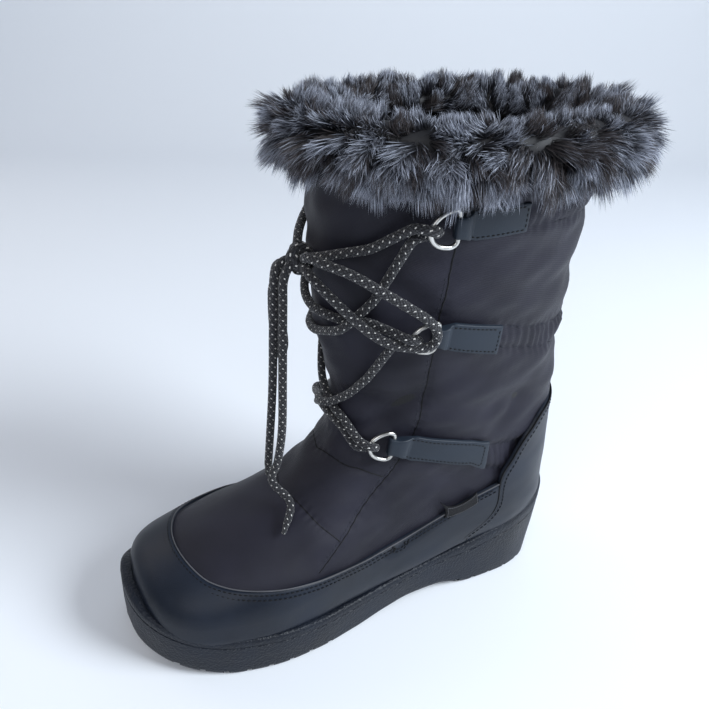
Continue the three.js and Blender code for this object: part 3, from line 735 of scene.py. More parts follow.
def make_upper():
    u = np.concatenate([np.linspace(0.12, 2, 24)[:-1], np.linspace(2, SHAFT_TOP, 200)])
    angle = np.linspace(-np.pi, np.pi, 301)
    grid_u, grid_a = np.meshgrid(u, angle, indexing="ij")
    points = on_boot(grid_u, grid_a)
    across = np.cumsum(np.linalg.norm(np.diff(points, axis=1, prepend=points[:, :1]), axis=-1), axis=1)
    along = np.cumsum(np.linalg.norm(np.diff(points, axis=0, prepend=points[:1]), axis=-1), axis=0)
    uv = np.stack([across - across[:, 150:151], along[:, 150:151] + 0 * along], -1)
    return mesh_piece("upper_shell", points, grid_faces(len(u), len(angle)), uv)


def make_lining():
    u = np.linspace(6.5, SHAFT_TOP, 70)
    angle = np.linspace(-np.pi, np.pi, 121)
    grid_u, grid_a = np.meshgrid(u, angle, indexing="ij")
    inner = on_last(grid_u, grid_a, -WALL + 0.25 * slow_waves(last_point(grid_u, grid_a)))
    rim = on_boot(np.full_like(angle, SHAFT_TOP), angle)
    points = np.concatenate([inner, rim[None]])
    uv = np.stack([grid_a * 45, grid_u * 12], -1)
    uv = np.concatenate([uv, uv[-1:] + np.array([0.0, 5.0])])
    return mesh_piece("shaft_lining", points, grid_faces(len(points), len(angle), flip=True), uv)


finish_piece(make_upper(), NYLON, "nylon", "upper")
finish_piece(make_lining(), LINING, "nylon", "upper")

# %% [markdown]
# ## The sole
# A cup sole: the foot's outline carried up in levels, with a soft lip at the top, a thin line of moulding
# round the wall, and cross lugs cut through the tread with the same slots as the CAD solid.

# %% Sole
TREADS = ((168, 262), (4, 69))
LUG_PITCH = 13
LUG_DEPTH = 3.2
SLOT_HALF = 2.3
SLOT_TAPER = 0.8
SOLE_BACK, SOLE_FRONT = -3, 279
SOLE_LEVELS = (
    # inset from the outline, share of the height, rise in millimetres
    (3.4, 0, 0), (2.2, 0, 0.25), (1.3, 0, 0.9), (0.7, 0, 2.0), (0.45, 0, 3.4), (0.35, 0.25, 2),
    (0.2, 0.4, 0.5), (0.0, 0.55, 0), (0.0, 0.68, 0), (0.0, 0.8, -0.6), (0.55, 0.8, -0.3),
    (0.6, 0.8, 0.3), (0.05, 0.8, 0.7),
    (0.0, 0.9, 0), (0.15, 1, -1.6), (0.6, 1, -0.7), (1.3, 1, -0.15), (2.2, 1, 0.0), (6.5, 1, -0.2),
    (10, 1, -9),
)


def sole_outline(count=110):
    t = np.linspace(0, 1, count)
    f = SOLE_BACK + (SOLE_FRONT - SOLE_BACK) * (0.6 * (1 - np.cos(np.pi * t)) / 2 + 0.4 * t)
    lateral = np.stack([sole["lateral"](f), f, f], -1)
    medial = np.stack([-sole["medial"](f), f, f], -1)[1:-1][::-1]
    return np.concatenate([lateral, medial])


def make_sole():
    outline = sole_outline()
    before = np.roll(outline, 1, axis=0)[:, :2]
    after = np.roll(outline, -1, axis=0)[:, :2]
    along = unit(after - before)
    inward = np.stack([-along[:, 1], along[:, 0]], -1)
    key = outline[:, 2]
    low = sole["bottom"](key)
    high = sole["top"](key)
    levels = []
    for inset, share, rise in SOLE_LEVELS:
        flat = outline[:, :2] + inward * inset
        z = low + (high - low) * share + rise
        levels.append(np.stack([flat[:, 0], HEEL_REST - flat[:, 1], z], -1))
    points = np.concatenate(levels)
    n = len(outline)
    faces = [grid_faces(len(levels), n, around=True, flip=True)]
    half = n // 2
    i = np.arange(half)
    for base, flip in ((0, True), ((len(levels) - 1) * n, False)):
        quads = np.stack([i, i + 1, (n - i - 1) % n, (n - i) % n], -1) + base
        faces.append(quads if flip else quads[:, ::-1])
    return mesh_piece("sole_unit", points, np.concatenate(faces))


def cut_lugs(piece):
    """Cuts the tread's slots with an exact boolean, then drops the cutter."""
    points = []
    faces = []
    for start, end in TREADS:
        for f in np.arange(start, end + 0.1, LUG_PITCH):
            base = float(sole["bottom"](f))
            top_half = SLOT_HALF - SLOT_TAPER
            profile = ((f - SLOT_HALF, base - 9), (f + SLOT_HALF, base - 9), (f + top_half, base + LUG_DEPTH),
                       (f - top_half, base + LUG_DEPTH))
            first = len(points)
            for x in (-80, 80):
                points += [(x, HEEL_REST - a, z) for a, z in profile]
            box = ((0, 1, 2, 3), (7, 6, 5, 4), (0, 4, 5, 1), (1, 5, 6, 2), (2, 6, 7, 3), (3, 7, 4, 0))
            faces += [[first + k for k in face] for face in box]
    cutter = mesh_piece("lug_cutter", points, faces, smooth=False)
    boolean = piece.modifiers.new("lugs", "BOOLEAN")
    boolean.object = cutter
    boolean.solver = "EXACT"
    evaluated = piece.evaluated_get(bpy.context.evaluated_depsgraph_get())
    cut = bpy.data.meshes.new_from_object(evaluated)
    piece.modifiers.clear()
    piece.data = cut
    bpy.data.objects.remove(cutter)


sole_unit = make_sole()
cut_lugs(sole_unit)
for polygon in sole_unit.data.polygons:
    polygon.use_smooth = True
sole_unit.data.set_sharp_from_angle(angle=math.radians(38))
finish_piece(sole_unit, RUBBER, "sole_rubber", "unit_sole")

# %% [markdown]
# ## Rand and heel counter
# Both are cut from the same leatherette, wrapped round the lower upper and lasted under the sole's lip. Each
# is a strip between the sole line and its own upper edge, standing two millimetres proud with a turned edge.

# %% Strips round the last
def contour(level, starts, low, high):
    """Angle at each station where the surface meets a height level(f), searched between two angles."""
    u = np.asarray(starts, float)
    a = np.full_like(u, low)
    b = np.full_like(u, high)

    def above(angle):
        p = last_point(u, angle)
        return p[:, 2] - level(HEEL_REST - p[:, 1])

    for _ in range(40):
        middle = (a + b) / 2
        positive = above(middle) > 0
        a = np.where(positive, middle, a)
        b = np.where(positive, b, middle)
    return (a + b) / 2


def sole_line(f):
    return sole["top"](np.clip(f, SOLE_BACK, SOLE_FRONT)) - 1.5


def even(line, count):
    """A line of (station, angle) points respaced evenly along its length on the last."""
    length = arc_length(last_point(line[:, 0], line[:, 1]))
    return value_at(np.linspace(0, length[-1], count), length, line)


def first_station(level):
    """Station where the front of the last rises past a height level(f)."""
    u = np.linspace(0.05, 8, 3000)
    p = last_point(u, np.zeros_like(u))
    return u[np.argmax(p[:, 2] > level(HEEL_REST - p[:, 1]))]


RAND_UNDER = math.radians(122)


def level_line(level, to_f, count, widest=math.pi):
    """From the front of the toe back along one side to a distance forward of the heel."""
    start = first_station(level)
    u = start + (16 - start) * np.linspace(0, 1, 900) ** 2
    angle = np.minimum(contour(level, u, 0.0, np.pi), widest)
    angle[0] = 0
    f = HEEL_REST - last_point(u, angle)[:, 1]
    keep = f > to_f
    return even(np.stack([u[keep], angle[keep]], -1), count)


COUNTER_BACK_STATION = 16.15
COUNTER_FRONT = ((73.5, 38), (68, 47), (55.5, 83), (50.5, 103), (43, 118), (28, 129), (8, 133.6))
COUNTER_EDGE = smooth_line([locate(f, z) for f, z in COUNTER_FRONT] + [(COUNTER_BACK_STATION, math.pi)], 120)


def rand_side(count):
    """Lower and upper edges of the rand on one side; both end at the counter's front edge."""
    low = level_line(sole_line, 71.5, count, widest=RAND_UNDER)
    high = level_line(rand_top, 56.5, count)
    low_f, high_f = (HEEL_REST - last_point(line[:, 0], line[:, 1])[:, 1] for line in (low, high))
    along = (high_f[0] - high_f) / (high_f[0] - high_f[-1])
    wanted = low_f[0] + (low_f[-1] - low_f[0]) * along
    order = np.argsort(low_f)
    level_with = np.stack([np.interp(wanted, low_f[order], low[order, k]) for k in (0, 1)], -1)
    past_toe = np.clip((np.arange(count) - 50) / 50, 0, 1)[:, None]
    low = low * (1 - past_toe) + level_with * past_toe
    even_out = np.ones(21) / 21
    low[70:-10] = np.stack([np.convolve(low[60:, k], even_out, "valid") for k in (0, 1)], -1)
    return low, high


LOW_SWELL = 0.5
TURNED_IN = -0.6
RAND_PROUD = 2.0
COUNTER_PROUD = 2.1


def strip_piece(name, low, high, across, off):
    """A skin between two lines on the last, its upper edge turned down onto the upper."""
    t = np.linspace(0, 1, across)[:, None]
    u = low[None, :, 0] * (1 - t) + high[None, :, 0] * t
    angle = low[None, :, 1] * (1 - t) + high[None, :, 1] * t
    rise = off + LOW_SWELL * (1 - t) ** 2 * np.ones_like(u)
    rise[-1] = off * 0.8
    points = on_last(u, angle, rise + 0.15 * slow_waves(last_point(u, angle)))
    foot = on_last(u[-1:], angle[-1:], np.full((1, u.shape[1]), TURNED_IN))
    points = np.concatenate([points, foot])
    return mesh_piece(name, points, grid_faces(len(points), u.shape[1]))


def make_rand():
    low, high = rand_side(260)
    mirror = np.array([1, -1])
    low_all = np.concatenate([(low * mirror)[::-1], low[1:]])
    high_all = np.concatenate([(high * mirror)[::-1], high[1:]])
    return strip_piece("rand_skin", low_all, high_all, 26, RAND_PROUD), high_all


rand, RAND_EDGE = make_rand()
finish_piece(rand, LEATHERETTE, "leatherette", "rand")


def make_counter():
    edge = even(COUNTER_EDGE, 120)
    u = np.linspace(10, 16.3, 900)
    angle = contour(sole_line, u, 0.4, np.pi)
    place = HEEL_REST - last_point(u, angle)[:, 1]
    keep = (place < COUNTER_FRONT[0][0]) & (angle < np.pi - 1e-3)
    low = np.stack([u[keep], angle[keep]], -1)
    low = np.vstack([low, [low[-1, 0] + 0.02, np.pi]])
    low = even(low, 120)
    mirror = np.array([1, -1])
    turned = np.array([0, 2 * np.pi])
    low_all = np.concatenate([low, ((low * mirror) + turned)[::-1][1:]])
    edge_all = np.concatenate([edge, ((edge * mirror) + turned)[::-1][1:]])
    return strip_piece("counter_skin", low_all, edge_all, 30, COUNTER_PROUD), edge_all


counter, COUNTER_RIM = make_counter()
finish_piece(counter, LEATHERETTE, "leatherette", "heel_counter")

# %% [markdown]
# ## Sewing
# Every seam is a dark line where two panels meet: a black tube sunk into the seam, which marks it and
# paints the shade in its groove, with a row of stitches beside it. A stitch is a small capsule, half sunk,
# and all the stitches of one kind are one mesh.

# %% Seams and stitches
SEAM_SINK = -0.15
SEAM_RADIUS = 0.42


def shaded_seam_tube(name, line, side):
    dense = smooth_line(line, 160)
    path = on_boot(dense[:, 0], dense[:, 1] * side, SEAM_SINK)
    # Black: the tube marks the seam and also paints the shade in the seam's groove.
    finish_piece(tube(name, resampled(path, 1.2), SEAM_RADIUS, 8), THREAD, "nylon")


STITCH_SIDES = 6
STITCH_FLAT = 0.8
STITCH_RINGS = ((-0.5, 0.15), (-0.36, 0.85), (0.0, 1.0), (0.36, 0.85), (0.5, 0.15))


def stitch_row(rows, path, normals, pitch, long, radius):
    """Adds capsules along a line: their middles are pitch apart and they are long millimetres long."""
    length = arc_length(path)
    at = np.arange(pitch * 0.6, length[-1] - pitch * 0.4, pitch)
    if len(at) == 0:
        return
    middle = value_at(at, length, path)
    along = unit(value_at(at + 0.5, length, path) - value_at(at - 0.5, length, path))
    out = unit(value_at(at, length, normals))
    side = unit(np.cross(along, out))
    angle = np.linspace(0, 2 * np.pi, STITCH_SIDES, endpoint=False)[None, :, None]
    ring = np.cos(angle) * side[:, None] + STITCH_FLAT * np.sin(angle) * out[:, None]
    rings = []
    for place, share in STITCH_RINGS:
        rings.append(middle[:, None] + along[:, None] * place * long + ring * radius * share)
    rows.append(np.stack(rings, 1))


def stitches_piece(name, rows, material, slot):
    rings = np.concatenate(rows)
    count = len(rings)
    one = grid_faces(len(STITCH_RINGS), STITCH_SIDES, around=True)
    faces = (one[None] + (np.arange(count) * len(STITCH_RINGS) * STITCH_SIDES)[:, None, None]).reshape(-1, 4)
    return finish_piece(mesh_piece(name, rings, faces), material, slot)


def surface_row(rows, line, side, surface, off, pitch=2.9, long=2.1, radius=0.3):
    dense = smooth_line(line, 600)
    u, angle = dense[:, 0], dense[:, 1] * side
    stitch_row(rows, surface(u, angle, off), last_normal(u, angle), pitch, long, radius)


def shifted(line, mm):
    """The line moved sideways on the last by some millimetres, towards the back for a plus."""
    path = last_point(line[:, 0], line[:, 1])
    tangent = unit(np.gradient(path, axis=0))
    aside = path + np.cross(tangent, last_normal(line[:, 0], line[:, 1])) * mm
    return np.array([locate(HEEL_REST - p[1], p[2], p[0]) for p in aside])


UPPER_SEAMS = (("side", SIDE_SEAM), ("throat", THROAT_SEAM), ("vamp", VAMP_SEAM))
cloth_stitches = []
SEAM_STITCHES = shifted(SIDE_SEAM[4:-1:2], 1.9)
for side, side_name in SIDES:
    for seam_name, seam in UPPER_SEAMS:
        shaded_seam_tube(f"seam_{seam_name}_{side_name}", seam, side)
    surface_row(cloth_stitches, SEAM_STITCHES, side, on_boot, 0.05, 2.6, 1.7, 0.24)
    for number in range(3):
        for edge in (0, 1):
            surface_row(cloth_stitches, band_line(number, edge), side, on_boot, 0.15, 2.6, 1.9, 0.3)
stitches_piece("cloth_stitches", cloth_stitches, PALE_THREAD, "nylon")


def beside_edge(mm):
    """A path on the rand a set distance below its upper edge, and the normals there."""
    u, angle = smooth_line(RAND_EDGE[::5], 600).T
    edge = on_last(u, angle, np.full(len(u), 2.15))
    ends = np.pad(last_normal(u, angle), ((20, 20), (0, 0)), mode="edge")
    normal = unit(np.stack([np.convolve(ends[:, k], np.ones(41) / 41, "valid") for k in range(3)], -1))
    below = unit(np.cross(unit(np.gradient(edge, axis=0)), normal))
    bend = np.where(u < 5, 26.0, 70.0)[:, None]
    return edge + below * mm - normal * mm ** 2 / (2 * bend), normal


rand_stitches = []
for depth in (2.4, 5.0):
    stitch_row(rand_stitches, *beside_edge(depth), 2.9, 2.0, 0.34)
for side, _ in SIDES:
    line = COUNTER_EDGE[6:112:3].copy()
    inner = line + (np.array([13.6, math.pi * 0.98]) - line) * 0.035
    surface_row(rand_stitches, inner, side, on_last, 2.22, 3.0, 2.1, 0.3)
stitches_piece("leatherette_stitches", rand_stitches, THREAD, "leatherette")

edge_path = on_last(RAND_EDGE[:, 0], RAND_EDGE[:, 1], np.full(len(RAND_EDGE), 1.75))
finish_piece(tube("rand_edge_bead", resampled(edge_path, 1.5), 0.42, 8), WELT, "leatherette")
rim_path = on_last(COUNTER_RIM[:, 0], COUNTER_RIM[:, 1], np.full(len(COUNTER_RIM), 1.7))
finish_piece(tube("counter_edge_bead", resampled(rim_path, 1.5), 0.5, 8), THREAD, "leatherette")

# %% [markdown]
# ## Straps and D-rings
# Each strap is a leatherette tab, stitched down and folded round the bar of a steel D-ring. It is a strip
# with a rounded section, which swells into the fold at the ring's end.

# %% Straps
RING_END = (0.58, 0.66, 0.66)
STRAP_THICK = 1.9
FOLD_THICK = 5.0
RING_OFF = 2.8
EDGE_PROFILE = ((-1, 0), (-1, 0.55), (-0.985, 0.82), (-0.95, 0.96), (-0.86, 1), (-0.5, 1.03), (0, 1.04),
                (0.5, 1.03), (0.86, 1), (0.95, 0.96), (0.985, 0.82), (1, 0.55), (1, 0))


def strap_place(number, along, across):
    """Station and angle on a strap; along runs from the ring end to the back, across from -1 to 1."""
    (top_front, low_front, top_back, low_back) = np.array(STRAP_CORNERS[number], float)
    along = np.asarray(along, float)[..., None]
    narrow = RING_END[number] + (1 - RING_END[number]) * np.clip((along - 0.1) / 0.2, 0, 1)
    level = 0.5 + 0.5 * np.asarray(across, float)[..., None] * narrow
    front = low_front + (top_front - low_front) * level
    back = low_back + (top_back - low_back) * level
    mixed = front + (back - front) * along
    return mixed[..., 0], np.radians(mixed[..., 1])


def strap_point(number, side, along, across, off):
    u, angle = strap_place(number, along, across)
    return on_last(u, angle * side, off)


def make_strap(number, side, side_name):
    body = np.linspace(0.03, 0.975, 36)
    stations = np.concatenate([[0, 0, 0.004, 0.012], body, [0.988, 0.996, 1, 1]])
    height = np.concatenate([[0, 0.5, 0.8, 0.94], np.ones(len(body)), [0.94, 0.8, 0.5, 0]])
    fold = np.sqrt(np.clip(1 - (1 - np.clip(1.6 * (1 - stations / 0.24), 0, 1)) ** 2, 0, 1))
    thick = STRAP_THICK + (FOLD_THICK - STRAP_THICK) * fold
    across = np.array([a for a, _ in EDGE_PROFILE])
    share = np.array([h for _, h in EDGE_PROFILE])
    grid_along, grid_across = np.meshgrid(stations, across, indexing="ij")
    off = 0.25 + (thick * height)[:, None] * share[None, :]
    points = strap_point(number, side, grid_along, grid_across, off)
    faces = grid_faces(len(stations), len(across), flip=side > 0)
    strap = mesh_piece(f"strap_{side_name}_{number + 1}_tab", points, faces)
    return finish_piece(strap, STRAP_LEATHER, "leatherette", f"strap_{side_name}_{number + 1}")


def strap_stitches(rows, number, side):
    top = [(t, 0.78) for t in np.linspace(0.2, 0.955, 20)]
    low = [(t, -0.78) for t in np.linspace(0.955, 0.2, 20)]
    back = [(0.955, a) for a in np.linspace(0.78, -0.78, 8)]
    front = [(0.2, a) for a in np.linspace(-0.72, 0.72, 8)]
    for line in (top, back, low, front):
        along, across = np.array(line).T
        u, angle = strap_place(number, along, across)
        thick = 0.25 + STRAP_THICK * 1.02 + (along < 0.21) * 0.75
        stitch_row(rows, on_last(u, angle * side, thick), last_normal(u, angle * side), 2.4, 1.6, 0.36)


strap_rows = []
for side, side_name in SIDES:
    for number in range(3):
        make_strap(number, side, side_name)
        strap_stitches(strap_rows, number, side)
stitches_piece("strap_stitches", strap_rows, THREAD, "leatherette")

# %% D-rings
RING_HALF = 8.2
RING_REACH = 13.0
RING_ALONG = 0.05
RING_WIRE = 1.15
RING_TILT = math.radians(15)
RING_HEEL = 2.5
RING_CORNER = 1.8


def ring_frame(number, side):
    """The bar's middle, and the directions up the bar, forward through the bow and out from the boot."""
    middle = strap_point(number, side, RING_ALONG, 0.0, RING_OFF)
    top, low = (strap_point(number, side, RING_ALONG, end, RING_OFF) for end in (1.0, -1.0))
    bar = unit(top - low)
    out = unit(middle - strap_point(number, side, RING_ALONG, 0.0, 0.0))
    forward = unit(np.cross(out, bar)) * side
    out = unit(np.cross(bar, forward)) * side
    return middle, bar, forward, out


def ring_place(number, side, forward_by, bar_by, out_by):
    middle, bar, forward, out = ring_frame(number, side)
    return middle + forward * forward_by + bar * bar_by + out * out_by


def make_ring(number, side, side_name):
    turn = np.linspace(0, math.pi, 12)
    bow = [(RING_HALF * math.cos(t), RING_HEEL + (RING_REACH - RING_HEEL) * math.sin(t)) for t in turn]
    marks = [(0, 0), (RING_HALF - RING_CORNER, 0), *bow, (-RING_HALF + RING_CORNER, 0), (0, 0)]
    tilt = math.tan(RING_TILT)
    path = [ring_place(number, side, reach, along, reach * tilt) for along, reach in marks]
    ring = tube(f"dring_{side_name}_{number + 1}_wire", resampled(smooth_line(path, 240), 0.9), RING_WIRE, 14)
    finish_piece(ring, STEEL, "ring_metal", f"dring_{side_name}_{number + 1}")


for side, side_name in SIDES:
    for number in range(3):
        make_ring(number, side, side_name)

# %% [markdown]
# ## The lace
# One round lace goes through all six rings: down from the knot, across and under, and up again. Its bow and
# its two ends are cords of their own, because they hang free. The braid is a pattern along the tube's uv.

# %% Lace through the rings
LACE_R = 2.3
LIE = 2.8
OVER = 7.4
WIDE_DEGREES = 8
CROSS_HIGH_FIRST = ((18.2, 41), (17.3, 34, 5), (16.55, 28, OVER), (15.9, 20, 5.5), (15.2, 8), (14.9, -4),
                    (15.2, -25), (16, -37))
CROSS_HIGH_SECOND = ((17.15, 38), (16.65, 28), (16.3, 12), (16.2, -2), (16.9, -22), (18.2, -38))
CROSS_LOW_FIRST = ((10.8, 18), (10.85, 6), (11.4, -9), (12.6, -24), (14.3, -37))
CROSS_LOW_SECOND = ((10.8, -16, 5), (10.95, 1, OVER), (11.6, 13, 5), (12.55, 24), (14.3, 37))
BAR = ((10.4, 18), (10.35, 6), (10.35, -6), (10.4, -18))
TOP_LATERAL = ((18.75, 9, 6), (18.95, 15, 4.5), (19.4, 26), (19.9, 38))
TOP_MEDIAL = ((18.75, -6, 6), (18.95, -11, 4.5), (19.4, -24), (19.9, -37))


def lying(marks):
    """Points on the boot through (station, degrees, height) marks; without a height the lace lies flat."""
    full = [(m[0], m[1] / WIDE_DEGREES, m[2] if len(m) > 2 else LIE) for m in marks]
    line = smooth_line(full, 14 * len(full))
    return on_last(line[:, 0], np.radians(line[:, 1] * WIDE_DEGREES), line[:, 2])


# Through a ring: over the wire, down inside the bow, and out under the wire, as (forward, along bar, out).
THREADING = ((19.5, 3.0, 2.6), (16, 2.9, 6.2), (12.6, 2.4, 7.3), (9.4, 0.9, 4.6), (9.4, -0.9, 1.4),
             (12.6, -2.2, -0.3), (16.2, -2.9, -0.5), (19.5, -3.0, 0.4))


def through_ring(number, side, flip=False):
    points = [ring_place(number, side, *mark) for mark in THREADING]
    return points[::-1] if flip else points


def lace_route():
    route = list(lying(TOP_LATERAL))
    route += through_ring(2, 1)
    route += list(lying(CROSS_HIGH_FIRST))
    route += through_ring(1, -1)
    route += list(lying(CROSS_LOW_FIRST[::-1]))
    route += through_ring(0, 1)
    route += list(lying(BAR))
    route += through_ring(0, -1, True)
    route += list(lying(CROSS_LOW_SECOND))
    route += through_ring(1, 1, True)
    route += list(lying(CROSS_HIGH_SECOND))
    route += through_ring(2, -1, True)
    route += list(lying(TOP_MEDIAL[::-1]))
    return np.array(route)


def softened(path, step, passes):
    """An evenly spaced path with its corners relaxed."""
    path = resampled(path, step)
    for _ in range(passes):
        path[1:-1] = 0.5 * path[1:-1] + 0.25 * (path[:-2] + path[2:])
    return path


lace = tube("lace_through_rings", softened(lace_route(), 0.9, 12), LACE_R, 12)
LACE_NODES = ("lace_cross_lower", "lace_cross_upper", "lace_top_lateral", "lace_top_medial")
finish_piece(lace, LACE, "lace", *LACE_NODES)

# %% Knot, bow and ends
KNOT_PLACE = on_last(np.array(18.55), np.radians(2.0), 8.2)


def free_place(x, f, z):
    return np.array([x, HEEL_REST - f, z], float)


LOOP_MARKS = ((18.8, 9, 10), (19, 13, 11.5), (19.05, 22, 11), (19.05, 33, 10), (18.85, 46, 10),
              (18.65, 56, 10), (18.45, 63, 10), (18.1, 65.5, 10), (17.65, 63, 10), (17.25, 54, 10),
              (17.1, 46, 10), (17.3, 37, 10),
              (17.85, 25, 11), (18.3, 15, 11.5), (18.45, 9, 10))
MEDIAL_LOOP = ((-4, 180, 221), (-9, 182.5, 218), (-14, 182, 210), (-21, 179, 198), (-27, 174, 184),
               (-30, 170, 172),
               (-27, 170, 163), (-21, 174.5, 161), (-16, 179, 168), (-13, 182, 181), (-12, 183.5, 196),
               (-9.5, 184, 208), (-5, 181, 217))
END_ONE = ((0.5, 179, 224), (-0.5, 183.5, 222.5), (-1, 186.6, 216), (-1, 187, 205), (-1, 187, 185),
           (-1, 187, 150), (-1, 189, 96))
END_TWO = ((4, 178, 224), (4.5, 182.5, 221), (4.5, 184.6, 214), (4.3, 184.4, 205), (4.3, 184, 185),
           (4.5, 183.5, 160), (5.5, 183.5, 130), (6.5, 186, 110), (8.5, 190, 98))
END_TWO_TIP = ((7.0, 20, 4.5), (6.5, 33, 3.0))


def lace_cord(name, path, node, far_end):
    path = softened(path, 1.0, 3)
    radius = np.full(len(path), LACE_R)
    if far_end == "bare":
        radius[-9:] = np.linspace(LACE_R, 1.3, 9)
    piece = finish_piece(tube(name, path, radius, 12), LACE, "lace", node)


KNOT_TURNS = 1.6
WRAP_RINGS, WRAP_RADIUS = 60, 2.5
ACROSS_RINGS, ACROSS_RADIUS = 40, 2.9
KNOT_SIDES = 12
ACROSS_MARKS = ((-7, 2, 1), (-3, -1, 3.5), (1, -3, 1), (4, -1, -3), (8, 2, 0))


def make_knot():
    """A turn and a half of the lace round the bow's crossing, and a strand across it."""
    t = np.linspace(0, 2 * math.pi * KNOT_TURNS, WRAP_RINGS)
    wrap = np.stack([-2.5 + t * 0.55, 4.6 * np.sin(t), 5.0 * np.cos(t)], -1) + KNOT_PLACE
    across = smooth_line(list(ACROSS_MARKS), ACROSS_RINGS) + KNOT_PLACE
    first = tube_points(wrap, WRAP_RADIUS, KNOT_SIDES)[0]
    second = tube_points(across, ACROSS_RADIUS, KNOT_SIDES)[0]
    points = np.concatenate([first.reshape(-1, 3), second.reshape(-1, 3)])
    faces = np.concatenate([
        grid_faces(WRAP_RINGS, KNOT_SIDES, around=True),
        grid_faces(ACROSS_RINGS, KNOT_SIDES, around=True, start=WRAP_RINGS * KNOT_SIDES),
    ])
    share = np.arange(KNOT_SIDES) / KNOT_SIDES
    uv = [np.stack(np.broadcast_arrays(share[None], np.linspace(0, n, m)[:, None]), -1).reshape(-1, 2)
          for n, m in ((3.4, WRAP_RINGS), (1.8, ACROSS_RINGS))]
    wraps = mesh_piece("lace_knot_wraps", points, faces, np.concatenate(uv))
    return finish_piece(wraps, LACE, "lace", "lace_knot")


knot = make_knot()
lace_cord("lace_bow_lateral", lying(LOOP_MARKS), "lace_loop_lateral", "object")
medial_loop = smooth_line([free_place(*p) for p in MEDIAL_LOOP], 120)
lace_cord("lace_bow_medial", medial_loop, "lace_loop_medial", "object")
end_one = smooth_line([free_place(*p) for p in END_ONE], 100)
end_two = smooth_line([free_place(*p) for p in END_TWO]
                      + [on_last(np.array(u), np.radians(a), off) for u, a, off in END_TWO_TIP], 140)
lace_cord("lace_tail_1", end_one, "lace_end_1", "bare")
lace_cord("lace_tail_2", end_two, "lace_end_2", "bare")

# %% [markdown]
# ## Label and footbed
# A small woven tab is caught in the rand's edge. It is left blank, with a pale woven border. The footbed is
# seen only from above, so the CAD solid stays and takes a felt finish.

# %% Label
LABEL_CORNERS = ((91, 66.5, 38), (69, 73, 37), (71.5, 81.5, 37), (95.5, 79.5, 38))


def make_label():
    low_front, low_back, top_back, top_front = np.array([locate(*corner) for corner in LABEL_CORNERS])
    s, t = np.meshgrid(np.linspace(0, 1, 26), np.linspace(0, 1, 14), indexing="ij")
    s, t = s[..., None], t[..., None]
    place = (low_front * (1 - s) + low_back * s) * (1 - t) + (top_front * (1 - s) + top_back * s) * t
    points = on_last(place[..., 0], place[..., 1], 2.3 + 0.3 * np.sin(3.0 * s[..., 0]))
    uv = np.concatenate([s * 25, t * 13], -1)
    label = mesh_piece("label_tab", points, grid_faces(26, 14, flip=True), uv)
    solid = label.modifiers.new("thickness", "SOLIDIFY")
    solid.thickness = 0.0008
    solid.offset = 0
    finish_piece(label, LABEL_CLOTH, "nylon")
    rows = []
    for line in (place[1:-1, 1], place[1:-1, -2], place[1, 1:-1], place[-2, 1:-1]):
        points = on_last(line[:, 0], line[:, 1], np.full(len(line), 2.95))
        stitch_row(rows, points, last_normal(line[:, 0], line[:, 1]), 1.3, 1.1, 0.22)
    stitches_piece("label_border", rows, WELT, "nylon")


make_label()
FOOTBED = grained_material(
    "felt_footbed", (0.01, 0.01, 0.011), (0.024, 0.024, 0.026), 600.0, 0.2, 0.0004, 0.9, 1.0)
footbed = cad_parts["insole"]
footbed.data.materials.clear()
footbed.data.materials.append(FOOTBED)

# %% [markdown]
# ## The fur cuff
# The cuff is a band of long faux fur, sewn over the shaft's edge. Its look comes from single strands, dark at
# the root and silver at the tip, that stick together in wisps, so the strands are real geometry: thin
# ribbons rooted on a dark backing, each drawn towards the tip of its own wisp. The dark roots and backing are
# partly the fur's own tone and partly painted shade deep in the pile; the silver tips are partly their own
# tone and partly painted highlight.

# %% Fur
FUR_SHARE = (0, 0.22, 0.45, 0.6, 0.75, 1)
fur_station = monotone(FUR_SHARE, (22.3, 22.6, 22.9, 23.1, 23.2, 22.6))
fur_root = monotone(FUR_SHARE, (1.5, 3.0, 4.0, 3.0, -1.0, -6.0))
fur_puff = monotone(FUR_SHARE, (1.0, 4.5, 6.0, 5.5, 4.0, 2.0))
fur_out = monotone(FUR_SHARE, (0.55, 0.85, 0.97, 0.8, 0.1, -0.85))
fur_up = monotone(FUR_SHARE, (-0.83, -0.5, -0.1, 0.5, 0.95, 0.35))
fur_length = monotone(FUR_SHARE, (15, 21, 22.5, 17, 10.5, 12))
BACK_FULLNESS = 0.72


def cuff_root(share, angle):
    """Root place of a strand and its outward and upward directions."""
    back = (1 - np.cos(angle)) / 2
    u = fur_station(share) + 1.5 * back * np.clip(0.45 - share, 0, 1)
    normal = last_normal(u, angle)
    along = unit(last_point(np.minimum(u + 0.1, LAST_END), angle) - last_point(u - 0.1, angle))
    full = 1 - (1 - BACK_FULLNESS) * back
    return on_last(u, angle, fur_root(share)), normal * full[..., None], along


def make_backing():
    share = np.linspace(0, 1, 26)
    angle = np.linspace(0, 2 * np.pi, 150, endpoint=False)
    grid_share, grid_angle = np.meshgrid(share, angle, indexing="ij")
    root, normal, along = cuff_root(grid_share, grid_angle)
    lumps = 1 + 0.12 * slow_waves(root)
    aim = normal * fur_out(grid_share)[..., None] + along * fur_up(grid_share)[..., None]
    points = root + unit(aim) * (fur_puff(grid_share) * lumps)[..., None]
    points[0] = root[0]
    points[-1] = root[-1]
    uv = np.stack([0.3 + 0 * grid_share, 0.2 + 0.2 * grid_share], -1)
    return mesh_piece("fur_backing", points, grid_faces(26, 150, around=True), uv)


finish_piece(make_backing(), FUR_BACKING, "fur", "fur_collar")

